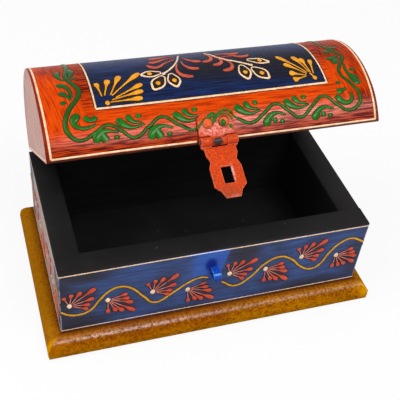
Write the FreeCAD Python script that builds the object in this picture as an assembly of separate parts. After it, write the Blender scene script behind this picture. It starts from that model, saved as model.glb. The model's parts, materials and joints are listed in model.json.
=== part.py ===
import FreeCAD, Part
import math
import os

# A painted wooden box with an arched lid, two butt hinges, a hasp and a strap staple.
# Millimetres. +X runs along the length, +Y towards the back, +Z up.
# The origin is on the plinth's underside, below the middle of the box.
# The lid and the hasp are drawn shut, then turned to the half-open rest pose.

# Carcass
body_length = 184.0
body_depth = 105.4
wall_height = 48.2
wall_thickness = 14.2
wall_edge_ease = 0.6
floor_thickness = 1.9
floor_fit = 0.15
glue_gap = 0.05

# Plinth
plinth_overhang = 9.0
plinth_back_overhang = 4.6
plinth_thickness = 13.2
plinth_corner_radius = 2.0
plinth_roll_reach = 8.8
plinth_back_roll_reach = 4.4
plinth_foot_round = 2.2
plinth_foot_height = 5.0

# Lid: a straight skirt, two shoulder arcs and one crown arc
lid_gap = 0.4
lid_end_inset = 0.3
lid_rise = 48.3
lid_skirt = 2.0
shoulder_turn_deg = 30.0
panel_thickness = 5.0
end_board_thickness = 13.5
rail_height = 17.0
lid_rest_deg = 34.2

# Butt hinges between the back wall and the lid
hinge_width = 26.0
hinge_from_end = 42.0
hinge_leaf_depth = 11.0
hinge_leaf_thickness = 1.0
hinge_barrel_radius = 2.2
hinge_pin_radius = 1.0
hinge_middle_width = 9.0
hinge_knuckle_gap = 0.25
hinge_stand_off = 0.3
mortise_fit = 0.1
pin_fit = 0.04

# Screws, nails and rivets
screw_fit = 0.05
hinge_screw_radius = 1.1
hinge_screw_head_radius = 2.0
hinge_screw_length = 9.0
hinge_screw_spacing = 16.0
plinth_screw_radius = 1.8
plinth_screw_head_radius = 3.6
plinth_screw_length = 30.0
plinth_screw_recess = 1.0
plinth_screw_span = 120.0
wall_nail_radius = 1.0
wall_nail_head_radius = 2.0
wall_nail_head_height = 0.9
wall_nail_length = 32.0
wall_nail_spacing = 24.0
panel_nail_radius = 0.8
panel_nail_head_radius = 1.4
panel_nail_head_height = 0.7
panel_nail_length = 11.0
panel_nail_turns_deg = (-50.0, -25.0, 0.0, 25.0, 50.0)
rail_nail_height = 7.0
rail_nail_from_hinge = 24.0
nail_set_depth = 1.2

# Hasp: a leaf riveted to the lid, a slotted plate and a pin
hasp_centre_x = -3.4
hasp_axis_height = 1.3
hasp_strap_thickness = 1.2
hasp_pin_radius = 1.2
hasp_wall_gap = 0.3
hasp_barrel_width = 20.0
hasp_middle_width = 8.0
hasp_knuckle_gap = 0.3
hasp_neck_width = 17.2
hasp_neck_length = 7.0
hasp_waist_width = 14.2
hasp_waist_at = 10.8
hasp_belly_width = 17.2
hasp_belly_from = 14.8
hasp_belly_to = 25.4
hasp_tip_shoulder_width = 11.2
hasp_tip_shoulder_at = 28.2
hasp_tip_width = 7.9
hasp_length = 32.0
hasp_slot_width = 5.6
hasp_slot_from = 14.4
hasp_slot_length = 9.7
hasp_leaf_side_step = 0.2
hasp_leaf_height = 15.6
hasp_leaf_clip = 2.5
hasp_rivet_height = 10.2
hasp_rivet_spacing = 9.0
hasp_rivet_radius = 1.2
hasp_rivet_head_radius = 2.5
hasp_rivet_head_height = 1.7
hasp_rivet_length = 10.5
hasp_rest_deg = 33.9

# Staple on the front wall, seen through the hasp's slot when the box is shut
staple_width = 4.8
staple_height = 6.4
staple_strap_thickness = 1.0
staple_bend_radius = 2.0
staple_proud = 7.0
staple_leg_depth = 11.0

# How far a cutting tool runs past what it cuts, and how near two numbers count as equal
cut_overshoot = 1.0
close_enough = 1e-6

# Places that several pieces share
half_length = body_length / 2
half_depth = body_depth / 2
rim_z = plinth_thickness + wall_height
lid_z = rim_z + lid_gap
lid_half_length = half_length - lid_end_inset
inner_length = body_length - 2 * wall_thickness
inner_depth = body_depth - 2 * wall_thickness
hinge_x = half_length - hinge_from_end
hinge_axis_y = half_depth + hinge_stand_off + hinge_barrel_radius
hinge_axis_z = rim_z + lid_gap / 2
hasp_barrel_radius = hasp_pin_radius + pin_fit + hasp_strap_thickness
hasp_leaf_width = hasp_barrel_width - 2 * hasp_leaf_side_step
hasp_rivet_dome_radius = (
    (hasp_rivet_head_radius ** 2 + hasp_rivet_head_height ** 2) / (2 * hasp_rivet_head_height)
)
hasp_axis_y = -half_depth - hasp_wall_gap - hasp_barrel_radius
hasp_axis_z = lid_z + hasp_axis_height
staple_z = hasp_axis_z - hasp_slot_from - hasp_slot_length / 2

# The arch: shoulder and crown arcs share a tangent at the shoulder turn
shoulder_turn = math.radians(shoulder_turn_deg)
arch_rise = lid_rise - lid_skirt
arch_spread = (half_depth - arch_rise) / (math.sin(shoulder_turn) + math.cos(shoulder_turn) - 1)
shoulder_radius = half_depth - arch_spread * math.cos(shoulder_turn)
crown_radius = shoulder_radius + arch_spread
shoulder_y = half_depth - shoulder_radius
shoulder_z = lid_z + lid_skirt
crown_z = shoulder_z + arch_rise - crown_radius

X_AXIS = FreeCAD.Vector(1, 0, 0)
Y_AXIS = FreeCAD.Vector(0, 1, 0)
Z_AXIS = FreeCAD.Vector(0, 0, 1)


def point(x, y, z):
    """A place or a direction."""
    return FreeCAD.Vector(x, y, z)


def block(x_low, x_high, y_low, y_high, z_low, z_high):
    """A box between two corners."""
    return Part.makeBox(x_high - x_low, y_high - y_low, z_high - z_low, point(x_low, y_low, z_low))


def rod(radius, start, end):
    """A round bar from one point to another."""
    run = end - start
    return Part.makeCylinder(radius, run.Length, start, run)


def tube(outer_radius, inner_radius, start, end):
    """A round tube from one point to another."""
    return rod(outer_radius, start, end).cut(rod(inner_radius, start, end))


def nail(head_top, direction, radius, head_radius, head_height, length, grow=0.0):
    """A flat-headed nail driven along direction; grow gives the hole that it sits in."""
    along = FreeCAD.Vector(direction).normalize()
    head = rod(head_radius + grow, head_top, head_top + along * head_height)
    shank = rod(radius + grow, head_top, head_top + along * length)
    return head.fuse(shank).removeSplitter()


def countersunk_screw(head_top, direction, radius, head_radius, length, grow=0.0):
    """A flat-headed screw with a 45 degree head; grow gives the hole that it sits in."""
    along = FreeCAD.Vector(direction).normalize()
    head_height = head_radius - radius
    head = Part.makeCone(head_radius + grow, radius + grow, head_height, head_top, along)
    shank = rod(radius + grow, head_top, head_top + along * length)
    return head.fuse(shank).removeSplitter()


def same(one, other):
    """Whether two lengths are equal, as far as the solids are exact."""
    return abs(one - other) < close_enough


def cut_all(shape, tools):
    """The shape less every tool, one at a time."""
    for tool in tools:
        shape = shape.cut(tool)
    return shape


def arch_wire(inset):
    """The lid's cross-section at the left end of the lid, drawn inset from its outer face."""
    x = -lid_half_length
    side_y = half_depth - inset
    shoulder = shoulder_radius - inset
    crown = crown_radius - inset
    half_turn = shoulder_turn / 2

    def on_shoulder(angle, side):
        y = shoulder_y + shoulder * math.cos(angle)
        return point(x, side * y, shoulder_z + shoulder * math.sin(angle))

    front_foot = point(x, -side_y, lid_z)
    front_spring = point(x, -side_y, shoulder_z)
    front_join = on_shoulder(shoulder_turn, -1)
    top = point(x, 0, crown_z + crown)
    back_join = on_shoulder(shoulder_turn, 1)
    back_spring = point(x, side_y, shoulder_z)
    back_foot = point(x, side_y, lid_z)
    edges = [
        Part.LineSegment(front_foot, front_spring).toShape(),
        Part.Arc(front_spring, on_shoulder(half_turn, -1), front_join).toShape(),
        Part.Arc(front_join, top, back_join).toShape(),
        Part.Arc(back_join, on_shoulder(half_turn, 1), back_spring).toShape(),
        Part.LineSegment(back_spring, back_foot).toShape(),
        Part.LineSegment(back_foot, front_foot).toShape(),
    ]
    return Part.Wire(edges)


def arch_prism(inset, x_low, x_high):
    """A solid arch between two places along X."""
    prism = Part.Face(arch_wire(inset)).extrude(X_AXIS * (x_high - x_low))
    prism.translate(X_AXIS * (x_low + lid_half_length))
    return prism


def crown_seat(x, turn_deg, depth):
    """A point under the crown's face and the direction into the lid, turned from upright."""
    turn = math.radians(turn_deg)
    outward = point(0, math.sin(turn), math.cos(turn))
    return point(x, 0, crown_z) + outward * (crown_radius - depth), outward * -1


def shoulder_seat(x, height, side, depth):
    """A point under the shoulder's face at a height over the lid's rim, and the way into the lid."""
    rise = math.asin((height - lid_skirt) / shoulder_radius)
    outward = point(0, side * math.cos(rise), math.sin(rise))
    centre = point(x, side * shoulder_y, shoulder_z)
    return centre + outward * (shoulder_radius - depth), outward * -1


def lid_turned(shape):
    """A piece of the lid, moved from shut to the rest pose."""
    return shape.rotated(point(0, hinge_axis_y, hinge_axis_z), X_AXIS, -lid_rest_deg)


def hasp_turned(shape):
    """The hasp plate, swung out on its own pin and then moved with the lid."""
    swung = shape.rotated(point(0, hasp_axis_y, hasp_axis_z), X_AXIS, -hasp_rest_deg)
    return lid_turned(swung)


# Fasteners

def wall_nails(grow=0.0):
    """Two nails through the front and back walls into each side wall, punched below the face."""
    nails = []
    middle_z = plinth_thickness + wall_height / 2
    for side_x in (-1, 1):
        x = side_x * (half_length - wall_thickness / 2)
        for side_y in (-1, 1):
            for step in (-1, 1):
                z = middle_z + step * wall_nail_spacing / 2
                top = point(x, side_y * (half_depth - nail_set_depth), z)
                nails.append(nail(top, Y_AXIS * -side_y, wall_nail_radius, wall_nail_head_radius,
                                  wall_nail_head_height, wall_nail_length, grow))
    return nails


def plinth_screws(grow=0.0):
    """Screws up through the plinth, two into each long wall and one into each side wall."""
    wall_y = half_depth - wall_thickness / 2
    wall_x = half_length - wall_thickness / 2
    places = [(x * plinth_screw_span / 2, y * wall_y) for x in (-1, 1) for y in (-1, 1)]
    places += [(-wall_x, 0), (wall_x, 0)]
    return [
        countersunk_screw(point(x, y, plinth_screw_recess), Z_AXIS, plinth_screw_radius,
                          plinth_screw_head_radius, plinth_screw_length, grow)
        for x, y in places
    ]


def plinth_screw_mouths():
    """The open counterbores below the screw heads."""
    mouths = []
    for screw in plinth_screws():
        centre = screw.BoundBox.Center
        mouths.append(rod(plinth_screw_head_radius + screw_fit, point(centre.x, centre.y, 0),
                          point(centre.x, centre.y, plinth_screw_recess)))
    return mouths


def hinge_screws(side_x, face_z, direction, grow=0.0):
    """Two screws through one hinge leaf, their heads level with its face."""
    y = half_depth - hinge_leaf_depth + hinge_screw_head_radius + hinge_leaf_thickness
    return [
        countersunk_screw(point(side_x * hinge_x + step * hinge_screw_spacing / 2, y, face_z), direction,
                          hinge_screw_radius, hinge_screw_head_radius, hinge_screw_length, grow)
        for step in (-1, 1)
    ]


def body_hinge_screws(grow=0.0):
    """The screws of both leaves on the back wall."""
    return [s for side in (-1, 1) for s in hinge_screws(side, rim_z, Z_AXIS * -1, grow)]


def lid_hinge_screws(grow=0.0):
    """The screws of both leaves on the lid."""
    return [s for side in (-1, 1) for s in hinge_screws(side, lid_z, Z_AXIS, grow)]


def panel_nails(grow=0.0):
    """Nails that hold the bent panel to the end boards and to both rails."""
    size = (panel_nail_radius, panel_nail_head_radius, panel_nail_head_height, panel_nail_length, grow)
    seats = []
    for side_x in (-1, 1):
        x = side_x * (lid_half_length - end_board_thickness / 2)
        seats += [crown_seat(x, turn, nail_set_depth) for turn in panel_nail_turns_deg]
        for step in (-1, 1):
            rail_x = side_x * hinge_x + step * rail_nail_from_hinge
            seats += [shoulder_seat(rail_x, rail_nail_height, side, nail_set_depth) for side in (-1, 1)]
    return [nail(top, into, *size) for top, into in seats]


def hasp_rivets(grow=0.0):
    """Two rivets with domed heads, square to the lid's shoulder, through the leaf into the rail."""
    rivets = []
    for step in (-1, 1):
        x = hasp_centre_x + step * hasp_rivet_spacing / 2
        seat, into = shoulder_seat(x, hasp_rivet_height, -1, -glue_gap - hasp_strap_thickness)
        dome_centre = seat + into * (hasp_rivet_dome_radius - hasp_rivet_head_height)
        dome = Part.makeSphere(hasp_rivet_dome_radius, dome_centre)
        head = dome.common(rod(hasp_rivet_head_radius, seat, seat - into * hasp_rivet_head_height))
        shank = rod(hasp_rivet_radius + grow, seat, seat + into * hasp_rivet_length)
        rivets.append(shank if grow else head.fuse(shank).removeSplitter())
    return rivets


# Carcass pieces

def rolled_face(low, high, low_reach, high_reach, place):
    """The plinth's cross-section between its two outer sides, each a rounded foot under a quarter ellipse.

    place turns a way across and a height into a point.
    """
    foot = min(plinth_foot_round, plinth_thickness / 3)
    round_weight = math.sqrt(0.5)

    def curve(start, corner, end):
        """A quarter of an ellipse that leaves start towards corner and comes into end from it."""
        bend = Part.BSplineCurve()
        bend.buildFromPolesMultsKnots([place(*start), place(*corner), place(*end)], [3, 3], [0, 1], False, 2,
                                      [1, round_weight, 1])
        return bend.toShape()

    low_foot, high_foot = (low + foot, 0), (high - foot, 0)
    low_side, high_side = (low, plinth_foot_height), (high, plinth_foot_height)
    low_top, high_top = (low + low_reach, plinth_thickness), (high - high_reach, plinth_thickness)
    edges = [
        curve(low_foot, (low, 0), low_side),
        curve(low_side, (low, plinth_thickness), low_top),
        Part.makeLine(place(*low_top), place(*high_top)),
        curve(high_top, (high, plinth_thickness), high_side),
        curve(high_side, (high, 0), high_foot),
        Part.makeLine(place(*high_foot), place(*low_foot)),
    ]
    return Part.Face(Part.Wire(edges))


def plinth():
    """The base board, its edges rolled over and mitred at the corners; it stands out less at the back."""
    x = half_length + plinth_overhang
    front_y = -half_depth - plinth_overhang
    back_y = half_depth + plinth_back_overhang
    reach = min(plinth_roll_reach, plinth_overhang)
    back_reach = min(plinth_back_roll_reach, plinth_back_overhang)
    lengthways = rolled_face(front_y, back_y, reach, back_reach, lambda y, z: point(-x, y, z))
    crossways = rolled_face(-x, x, reach, reach, lambda x, z: point(x, front_y, z))
    board = block(-x, x, front_y, back_y, 0, plinth_thickness)
    upright = [e for e in board.Edges if same(e.BoundBox.ZLength, plinth_thickness)]
    board = board.makeFillet(plinth_corner_radius, upright)
    board = board.common(lengthways.extrude(X_AXIS * (2 * x)))
    board = board.common(crossways.extrude(Y_AXIS * (back_y - front_y)))
    return cut_all(board, plinth_screws(screw_fit) + plinth_screw_mouths())


def floor_panel():
    """The thin floor inside the walls, on the plinth's top."""
    x = inner_length / 2 - floor_fit
    y = inner_depth / 2 - floor_fit
    return block(-x, x, -y, y, plinth_thickness, plinth_thickness + floor_thickness)


def long_wall(side_y):
    """The front or back wall, as long as the box, its two upright outer edges eased."""
    outer = side_y * half_depth
    inner = side_y * (half_depth - wall_thickness)
    wall = block(-half_length, half_length, min(outer, inner), max(outer, inner), plinth_thickness, rim_z)
    upright = [
        e for e in wall.Edges
        if same(e.BoundBox.ZLength, wall_height) and same(e.BoundBox.Center.y, outer)
    ]
    wall = wall.makeFillet(wall_edge_ease, upright)
    return cut_all(wall, wall_nails(screw_fit) + plinth_screws(screw_fit))


def front_wall():
    """The front wall, slotted for the staple's legs."""
    return long_wall(-1).cut(staple_strap(glue_gap))


def back_wall():
    """The back wall, with a mortise and screw holes for each hinge leaf."""
    wall = long_wall(1)
    for side_x in (-1, 1):
        wall = wall.cut(hinge_mortise(side_x, rim_z - hinge_leaf_thickness, rim_z))
    return cut_all(wall, body_hinge_screws(screw_fit))


def side_wall(side_x):
    """A short wall, butted between the front and back walls."""
    outer = side_x * half_length
    inner = side_x * (half_length - wall_thickness)
    y = inner_depth / 2
    wall = block(min(outer, inner), max(outer, inner), -y, y, plinth_thickness, rim_z)
    return cut_all(wall, wall_nails(screw_fit) + plinth_screws(screw_fit))


# Lid pieces

def lid_cutters():
    """Everything let into the lid's wood: nails, rivets, hinge mortises and hinge screws."""
    mortises = [hinge_mortise(side, lid_z, lid_z + hinge_leaf_thickness) for side in (-1, 1)]
    return panel_nails(screw_fit) + hasp_rivets(screw_fit) + mortises + lid_hinge_screws(screw_fit)


def lid_arch_panel():
    """The bent panel, from the front rim over the crown to the back rim."""
    outer = arch_prism(0, -lid_half_length, lid_half_length)
    past_end = lid_half_length + cut_overshoot
    inner_y = half_depth - panel_thickness
    inner = arch_prism(panel_thickness, -past_end, past_end)
    below = block(-past_end, past_end, -inner_y, inner_y, lid_z - cut_overshoot, lid_z + lid_skirt)
    return cut_all(outer, [inner, below] + lid_cutters())


def lid_end(side_x):
    """An arched end board under the panel."""
    outer = side_x * lid_half_length
    inner = side_x * (lid_half_length - end_board_thickness)
    board = arch_prism(panel_thickness + glue_gap, min(outer, inner), max(outer, inner))
    return cut_all(board, lid_cutters())


def lid_rail(side_y):
    """A rail along the panel's lower inside edge, between the end boards."""
    x = lid_half_length - end_board_thickness
    under_panel = arch_prism(panel_thickness + glue_gap, -x, x)
    outer = side_y * half_depth
    inner = side_y * (half_depth - wall_thickness)
    strip = block(-x, x, min(outer, inner), max(outer, inner), lid_z, lid_z + rail_height)
    return cut_all(under_panel.common(strip), lid_cutters())


# Hinges

def hinge_mortise(side_x, z_low, z_high):
    """The shallow pocket for one hinge leaf, open at the back."""
    half = hinge_width / 2 + mortise_fit
    front_y = half_depth - hinge_leaf_depth - mortise_fit
    return block(side_x * hinge_x - half, side_x * hinge_x + half, front_y, half_depth + cut_overshoot,
                 z_low, z_high)


def outer_knuckles(side_x):
    """The X ranges of the two knuckles at a hinge's ends."""
    centre = side_x * hinge_x
    near = hinge_middle_width / 2 + hinge_knuckle_gap
    far = hinge_width / 2
    return [(centre - far, centre - near), (centre + near, centre + far)]


def middle_knuckle(side_x):
    """The X range of the knuckle at a hinge's middle."""
    centre = side_x * hinge_x
    half = hinge_middle_width / 2
    return [(centre - half, centre + half)]


def pin_line(centre_x, half, axis_y, axis_z):
    """The two ends of a pin or bore that runs along X."""
    return point(centre_x - half, axis_y, axis_z), point(centre_x + half, axis_y, axis_z)


def hinge_leaf(side_x, z_low, z_high, spans, screws):
    """A flat leaf in its mortise, with a tongue rolled into a knuckle over each span."""
    half = hinge_width / 2
    front_y = half_depth - hinge_leaf_depth
    leaf = block(side_x * hinge_x - half, side_x * hinge_x + half, front_y, half_depth, z_low, z_high)
    tongue_end = hinge_axis_y - hinge_pin_radius - pin_fit
    for x_low, x_high in spans:
        tongue = block(x_low, x_high, half_depth, tongue_end, z_low, z_high)
        roll = rod(hinge_barrel_radius, point(x_low, hinge_axis_y, hinge_axis_z),
                   point(x_high, hinge_axis_y, hinge_axis_z))
        leaf = leaf.fuse(tongue).fuse(roll)
    bore_line = pin_line(side_x * hinge_x, half + cut_overshoot, hinge_axis_y, hinge_axis_z)
    bore = rod(hinge_pin_radius + pin_fit, *bore_line)
    return cut_all(leaf.removeSplitter(), [bore] + screws)


def hinge_body_leaf(side_x):
    """The leaf let into the back wall's rim, with the two outer knuckles."""
    screws = hinge_screws(side_x, rim_z, Z_AXIS * -1, screw_fit)
    return hinge_leaf(side_x, rim_z - hinge_leaf_thickness, rim_z, outer_knuckles(side_x), screws)


def hinge_lid_leaf(side_x):
    """The leaf let into the lid's rim, with the middle knuckle."""
    screws = hinge_screws(side_x, lid_z, Z_AXIS, screw_fit)
    return hinge_leaf(side_x, lid_z, lid_z + hinge_leaf_thickness, middle_knuckle(side_x), screws)


def hinge_pin(side_x):
    """The pin through one hinge's knuckles, as long as the hinge is wide."""
    return rod(hinge_pin_radius, *pin_line(side_x * hinge_x, hinge_width / 2, hinge_axis_y, hinge_axis_z))


# Hasp and staple

def hasp_knuckle(x_low, x_high):
    """A rolled knuckle round the hasp's pin."""
    start = point(hasp_centre_x + x_low, hasp_axis_y, hasp_axis_z)
    end = point(hasp_centre_x + x_high, hasp_axis_y, hasp_axis_z)
    return tube(hasp_barrel_radius, hasp_pin_radius + pin_fit, start, end)


def hasp_leaf():
    """The strap on the lid's front, following its shoulder, with the middle knuckle at its foot."""
    inner = shoulder_radius + glue_gap
    outer = inner + hasp_strap_thickness
    top_turn = math.asin((hasp_leaf_height - lid_skirt) / outer)
    foot_z = hasp_axis_z

    def at(radius, turn):
        return point(0, -shoulder_y - radius * math.cos(turn), shoulder_z + radius * math.sin(turn))

    edges = [
        Part.LineSegment(point(0, at(inner, 0).y, foot_z), at(inner, 0)).toShape(),
        Part.Arc(at(inner, 0), at(inner, top_turn / 2), at(inner, top_turn)).toShape(),
        Part.LineSegment(at(inner, top_turn), at(outer, top_turn)).toShape(),
        Part.Arc(at(outer, top_turn), at(outer, top_turn / 2), at(outer, 0)).toShape(),
        Part.LineSegment(at(outer, 0), point(0, at(outer, 0).y, foot_z)).toShape(),
        Part.LineSegment(point(0, at(outer, 0).y, foot_z), point(0, at(inner, 0).y, foot_z)).toShape(),
    ]
    strap = Part.Face(Part.Wire(edges)).extrude(X_AXIS * hasp_leaf_width)
    strap.translate(X_AXIS * (hasp_centre_x - hasp_leaf_width / 2))
    middle = hasp_middle_width / 2
    half = hasp_leaf_width / 2
    clear_z = hasp_axis_z + hasp_barrel_radius + hasp_knuckle_gap
    y_low = hasp_axis_y - hasp_barrel_radius
    for side in (-1, 1):
        near = hasp_centre_x + side * middle
        far = hasp_centre_x + side * (half + cut_overshoot)
        strap = strap.cut(block(min(near, far), max(near, far), y_low, 0, foot_z - cut_overshoot, clear_z))
        corner_x = hasp_centre_x + side * half
        corner_z = lid_z + hasp_leaf_height
        past_x = corner_x + side * cut_overshoot
        past_z = corner_z + cut_overshoot
        clip_reach = hasp_leaf_clip + 2 * cut_overshoot
        corner = [
            point(past_x, -half_depth, past_z),
            point(past_x, -half_depth, past_z - clip_reach),
            point(past_x - side * clip_reach, -half_depth, past_z),
        ]
        clip = Part.Face(Part.makePolygon(corner + corner[:1])).extrude(Y_AXIS * half_depth)
        clip.translate(Y_AXIS * (-half_depth / 2))
        strap = strap.cut(clip)
    leaf = strap.fuse(hasp_knuckle(-middle, middle)).removeSplitter()
    bore_line = pin_line(hasp_centre_x, half + cut_overshoot, hasp_axis_y, hasp_axis_z)
    pin_bore = rod(hasp_pin_radius + pin_fit, *bore_line)
    return cut_all(leaf, [pin_bore] + hasp_rivets(screw_fit))


def hasp_outline(y):
    """The plate's outline, hanging from the pin: neck, waist, belly and blunt tip."""
    half_profile = [
        (hasp_barrel_width / 2, 0),
        (hasp_barrel_width / 2, hasp_barrel_radius),
        (hasp_neck_width / 2, hasp_barrel_radius + hasp_strap_thickness),
        (hasp_neck_width / 2, hasp_neck_length),
        (hasp_waist_width / 2, hasp_waist_at),
        (hasp_belly_width / 2, hasp_belly_from),
        (hasp_belly_width / 2, hasp_belly_to),
        (hasp_tip_shoulder_width / 2, hasp_tip_shoulder_at),
        (hasp_tip_width / 2, hasp_length),
    ]
    right = [point(hasp_centre_x + x, y, hasp_axis_z - drop) for x, drop in half_profile]
    left = [point(hasp_centre_x - x, y, hasp_axis_z - drop) for x, drop in reversed(half_profile)]
    return Part.makePolygon(right + left + right[:1])


def hasp_plate():
    """The swinging plate, with two outer knuckles and the slot for the staple."""
    outer_y = -half_depth - hasp_wall_gap - hasp_strap_thickness
    plate = Part.Face(hasp_outline(outer_y)).extrude(Y_AXIS * hasp_strap_thickness)
    slot_top = hasp_axis_z - hasp_slot_from
    slot = block(hasp_centre_x - hasp_slot_width / 2, hasp_centre_x + hasp_slot_width / 2,
                 outer_y - cut_overshoot, 0, slot_top - hasp_slot_length, slot_top)
    middle = hasp_middle_width / 2 + hasp_knuckle_gap
    outer = hasp_barrel_width / 2
    notch_z = hasp_axis_z - hasp_barrel_radius - hasp_knuckle_gap
    notch = block(hasp_centre_x - middle, hasp_centre_x + middle, outer_y - cut_overshoot, 0,
                  notch_z, hasp_axis_z + cut_overshoot)
    plate = plate.cut(slot).cut(notch)
    plate = plate.fuse(hasp_knuckle(-outer, -middle)).fuse(hasp_knuckle(middle, outer)).removeSplitter()
    bore_line = pin_line(hasp_centre_x, outer + cut_overshoot, hasp_axis_y, hasp_axis_z)
    return plate.cut(rod(hasp_pin_radius + pin_fit, *bore_line))


def hasp_pin():
    """The pin that the plate swings on, as long as the barrel."""
    return rod(hasp_pin_radius, *pin_line(hasp_centre_x, hasp_barrel_width / 2, hasp_axis_y, hasp_axis_z))


def crosswise_edges(solid):
    """The edges along X on a solid's foremost face."""
    front_y = solid.BoundBox.YMin
    width = solid.BoundBox.XLength
    return [e for e in solid.Edges if same(e.BoundBox.YMax, front_y) and same(e.BoundBox.XLength, width)]


def staple_strap(grow=0.0):
    """A flat strap bent into a U, both legs driven into the front wall; grow gives its slots."""
    half = staple_height / 2 + grow
    crown_y = -half_depth - staple_proud - grow
    leg_end_y = -half_depth + staple_leg_depth + grow
    half_width = staple_width / 2 + grow
    hollow = half - staple_strap_thickness - 2 * grow
    loop = block(hasp_centre_x - half_width, hasp_centre_x + half_width, crown_y, leg_end_y,
                 staple_z - half, staple_z + half)
    loop = loop.makeFillet(staple_bend_radius, crosswise_edges(loop))
    eye = block(hasp_centre_x - half_width, hasp_centre_x + half_width,
                crown_y + staple_strap_thickness + 2 * grow, leg_end_y, staple_z - hollow, staple_z + hollow)
    eye = eye.makeFillet(staple_bend_radius - staple_strap_thickness, crosswise_edges(eye))
    return loop.cut(eye)


# Every node, by name, in its rest pose
nodes = {
    "plinth": plinth(),
    "floor_panel": floor_panel(),
    "front_wall": front_wall(),
    "back_wall": back_wall(),
    "left_wall": side_wall(-1),
    "right_wall": side_wall(1),
    "wall_nails": Part.makeCompound(wall_nails()),
    "plinth_screws": Part.makeCompound(plinth_screws()),
    "hinge_left_body_leaf": hinge_body_leaf(-1),
    "hinge_right_body_leaf": hinge_body_leaf(1),
    "hinge_left_pin": hinge_pin(-1),
    "hinge_right_pin": hinge_pin(1),
    "hinge_body_screws": Part.makeCompound(body_hinge_screws()),
    "staple": staple_strap(),
    "lid_arch_panel": lid_turned(lid_arch_panel()),
    "lid_left_end": lid_turned(lid_end(-1)),
    "lid_right_end": lid_turned(lid_end(1)),
    "lid_front_rail": lid_turned(lid_rail(-1)),
    "lid_back_rail": lid_turned(lid_rail(1)),
    "lid_nails": lid_turned(Part.makeCompound(panel_nails())),
    "hinge_left_lid_leaf": lid_turned(hinge_lid_leaf(-1)),
    "hinge_right_lid_leaf": lid_turned(hinge_lid_leaf(1)),
    "hinge_lid_screws": lid_turned(Part.makeCompound(lid_hinge_screws())),
    "hasp_leaf": lid_turned(hasp_leaf()),
    "hasp_rivets": lid_turned(Part.makeCompound(hasp_rivets())),
    "hasp_pin": lid_turned(hasp_pin()),
    "hasp_plate": hasp_turned(hasp_plate()),
}

os.makedirs("parts", exist_ok=True)
for name, shape in nodes.items():
    shape.exportStep(f"parts/{name}.step")
    print(f"{name}: {len(shape.Solids)} solids, valid {shape.isValid()}, {shape.Volume:.0f} mm3")

hasp_pin_middle = nodes["hasp_pin"].BoundBox.Center
print(f"lid hinge axis at y {hinge_axis_y:.3f}, z {hinge_axis_z:.3f}")
print(f"hasp pin at x {hasp_pin_middle.x:.3f}, y {hasp_pin_middle.y:.3f}, z {hasp_pin_middle.z:.3f}")
print(f"arch: shoulder radius {shoulder_radius:.2f}, crown radius {crown_radius:.2f}")
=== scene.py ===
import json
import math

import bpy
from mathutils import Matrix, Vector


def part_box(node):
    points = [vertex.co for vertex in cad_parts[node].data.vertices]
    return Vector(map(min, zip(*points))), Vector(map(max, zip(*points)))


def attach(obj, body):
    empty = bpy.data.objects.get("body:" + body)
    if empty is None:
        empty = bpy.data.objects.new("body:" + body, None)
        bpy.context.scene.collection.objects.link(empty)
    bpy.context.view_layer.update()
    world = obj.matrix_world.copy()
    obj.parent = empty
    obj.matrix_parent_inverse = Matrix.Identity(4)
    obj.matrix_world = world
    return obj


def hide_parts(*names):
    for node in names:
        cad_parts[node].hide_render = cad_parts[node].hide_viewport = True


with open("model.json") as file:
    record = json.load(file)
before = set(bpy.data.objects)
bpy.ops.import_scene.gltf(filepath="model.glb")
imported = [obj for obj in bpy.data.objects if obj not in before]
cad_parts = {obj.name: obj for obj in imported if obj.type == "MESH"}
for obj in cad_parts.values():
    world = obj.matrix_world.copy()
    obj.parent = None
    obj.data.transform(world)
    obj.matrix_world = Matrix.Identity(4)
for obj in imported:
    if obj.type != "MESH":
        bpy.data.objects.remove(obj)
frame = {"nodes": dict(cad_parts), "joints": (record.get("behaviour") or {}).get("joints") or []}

# %% [markdown]
# # A painted box with an arched lid
#
# The real object is a small wooden chest, painted all over in flat grounds of blue, orange and ochre. Its
# vines, flowers and lines are squeezed from a paper cone as a thick paste, which dries as a raised
# thread. The wood and iron come from the construction frame. This lesson gives each board its worked
# edges and its paint, and then lays every raised stroke on it as real, thin geometry, because a bump
# alone would vanish in side light.

MM = 0.001
nodes = frame["nodes"]
joints = {joint["name"]: joint for joint in frame["joints"]}
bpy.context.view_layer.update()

# %% [markdown]
# ## Camera
#
# The photograph looks down on the box from its front left corner, and its horizon leans a little. A
# camera could be pointed at the box with a constraint, but a plain matrix made from a bearing, a height
# angle and a roll says exactly what it does.

# %% Set up the camera
camera_place = Vector((-125.75, -326.14, 370.72)) * MM
camera_bearing = math.radians(-21.70)
camera_height_angle = math.radians(42.47)
camera_roll = math.radians(6.54)
camera_lens_mm = 69.46

bpy.context.scene.view_settings.view_transform = "Standard"
camera = bpy.data.objects.new("camera", bpy.data.cameras.new("camera"))
bpy.context.scene.collection.objects.link(camera)
bpy.context.scene.camera = camera
camera.data.lens = camera_lens_mm

flat_reach = math.cos(camera_height_angle)
forward = Vector((
    -math.sin(camera_bearing) * flat_reach,
    math.cos(camera_bearing) * flat_reach,
    -math.sin(camera_height_angle),
))
level_right = forward.cross(Vector((0, 0, 1))).normalized()
level_up = level_right.cross(forward)
right = level_right * math.cos(camera_roll) + level_up * math.sin(camera_roll)
up = level_up * math.cos(camera_roll) - level_right * math.sin(camera_roll)
turn = Matrix((right, up, -forward)).transposed().to_4x4()
camera.matrix_world = Matrix.Translation(camera_place) @ turn
print("the camera stands", round(camera_place.length, 3), "m from the box")

# %% [markdown]
# ## Nodes
#
# The floor, the surroundings and every paint are shader nodes. A few helpers place and wire them, so that
# the later cells read like recipes.

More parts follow.
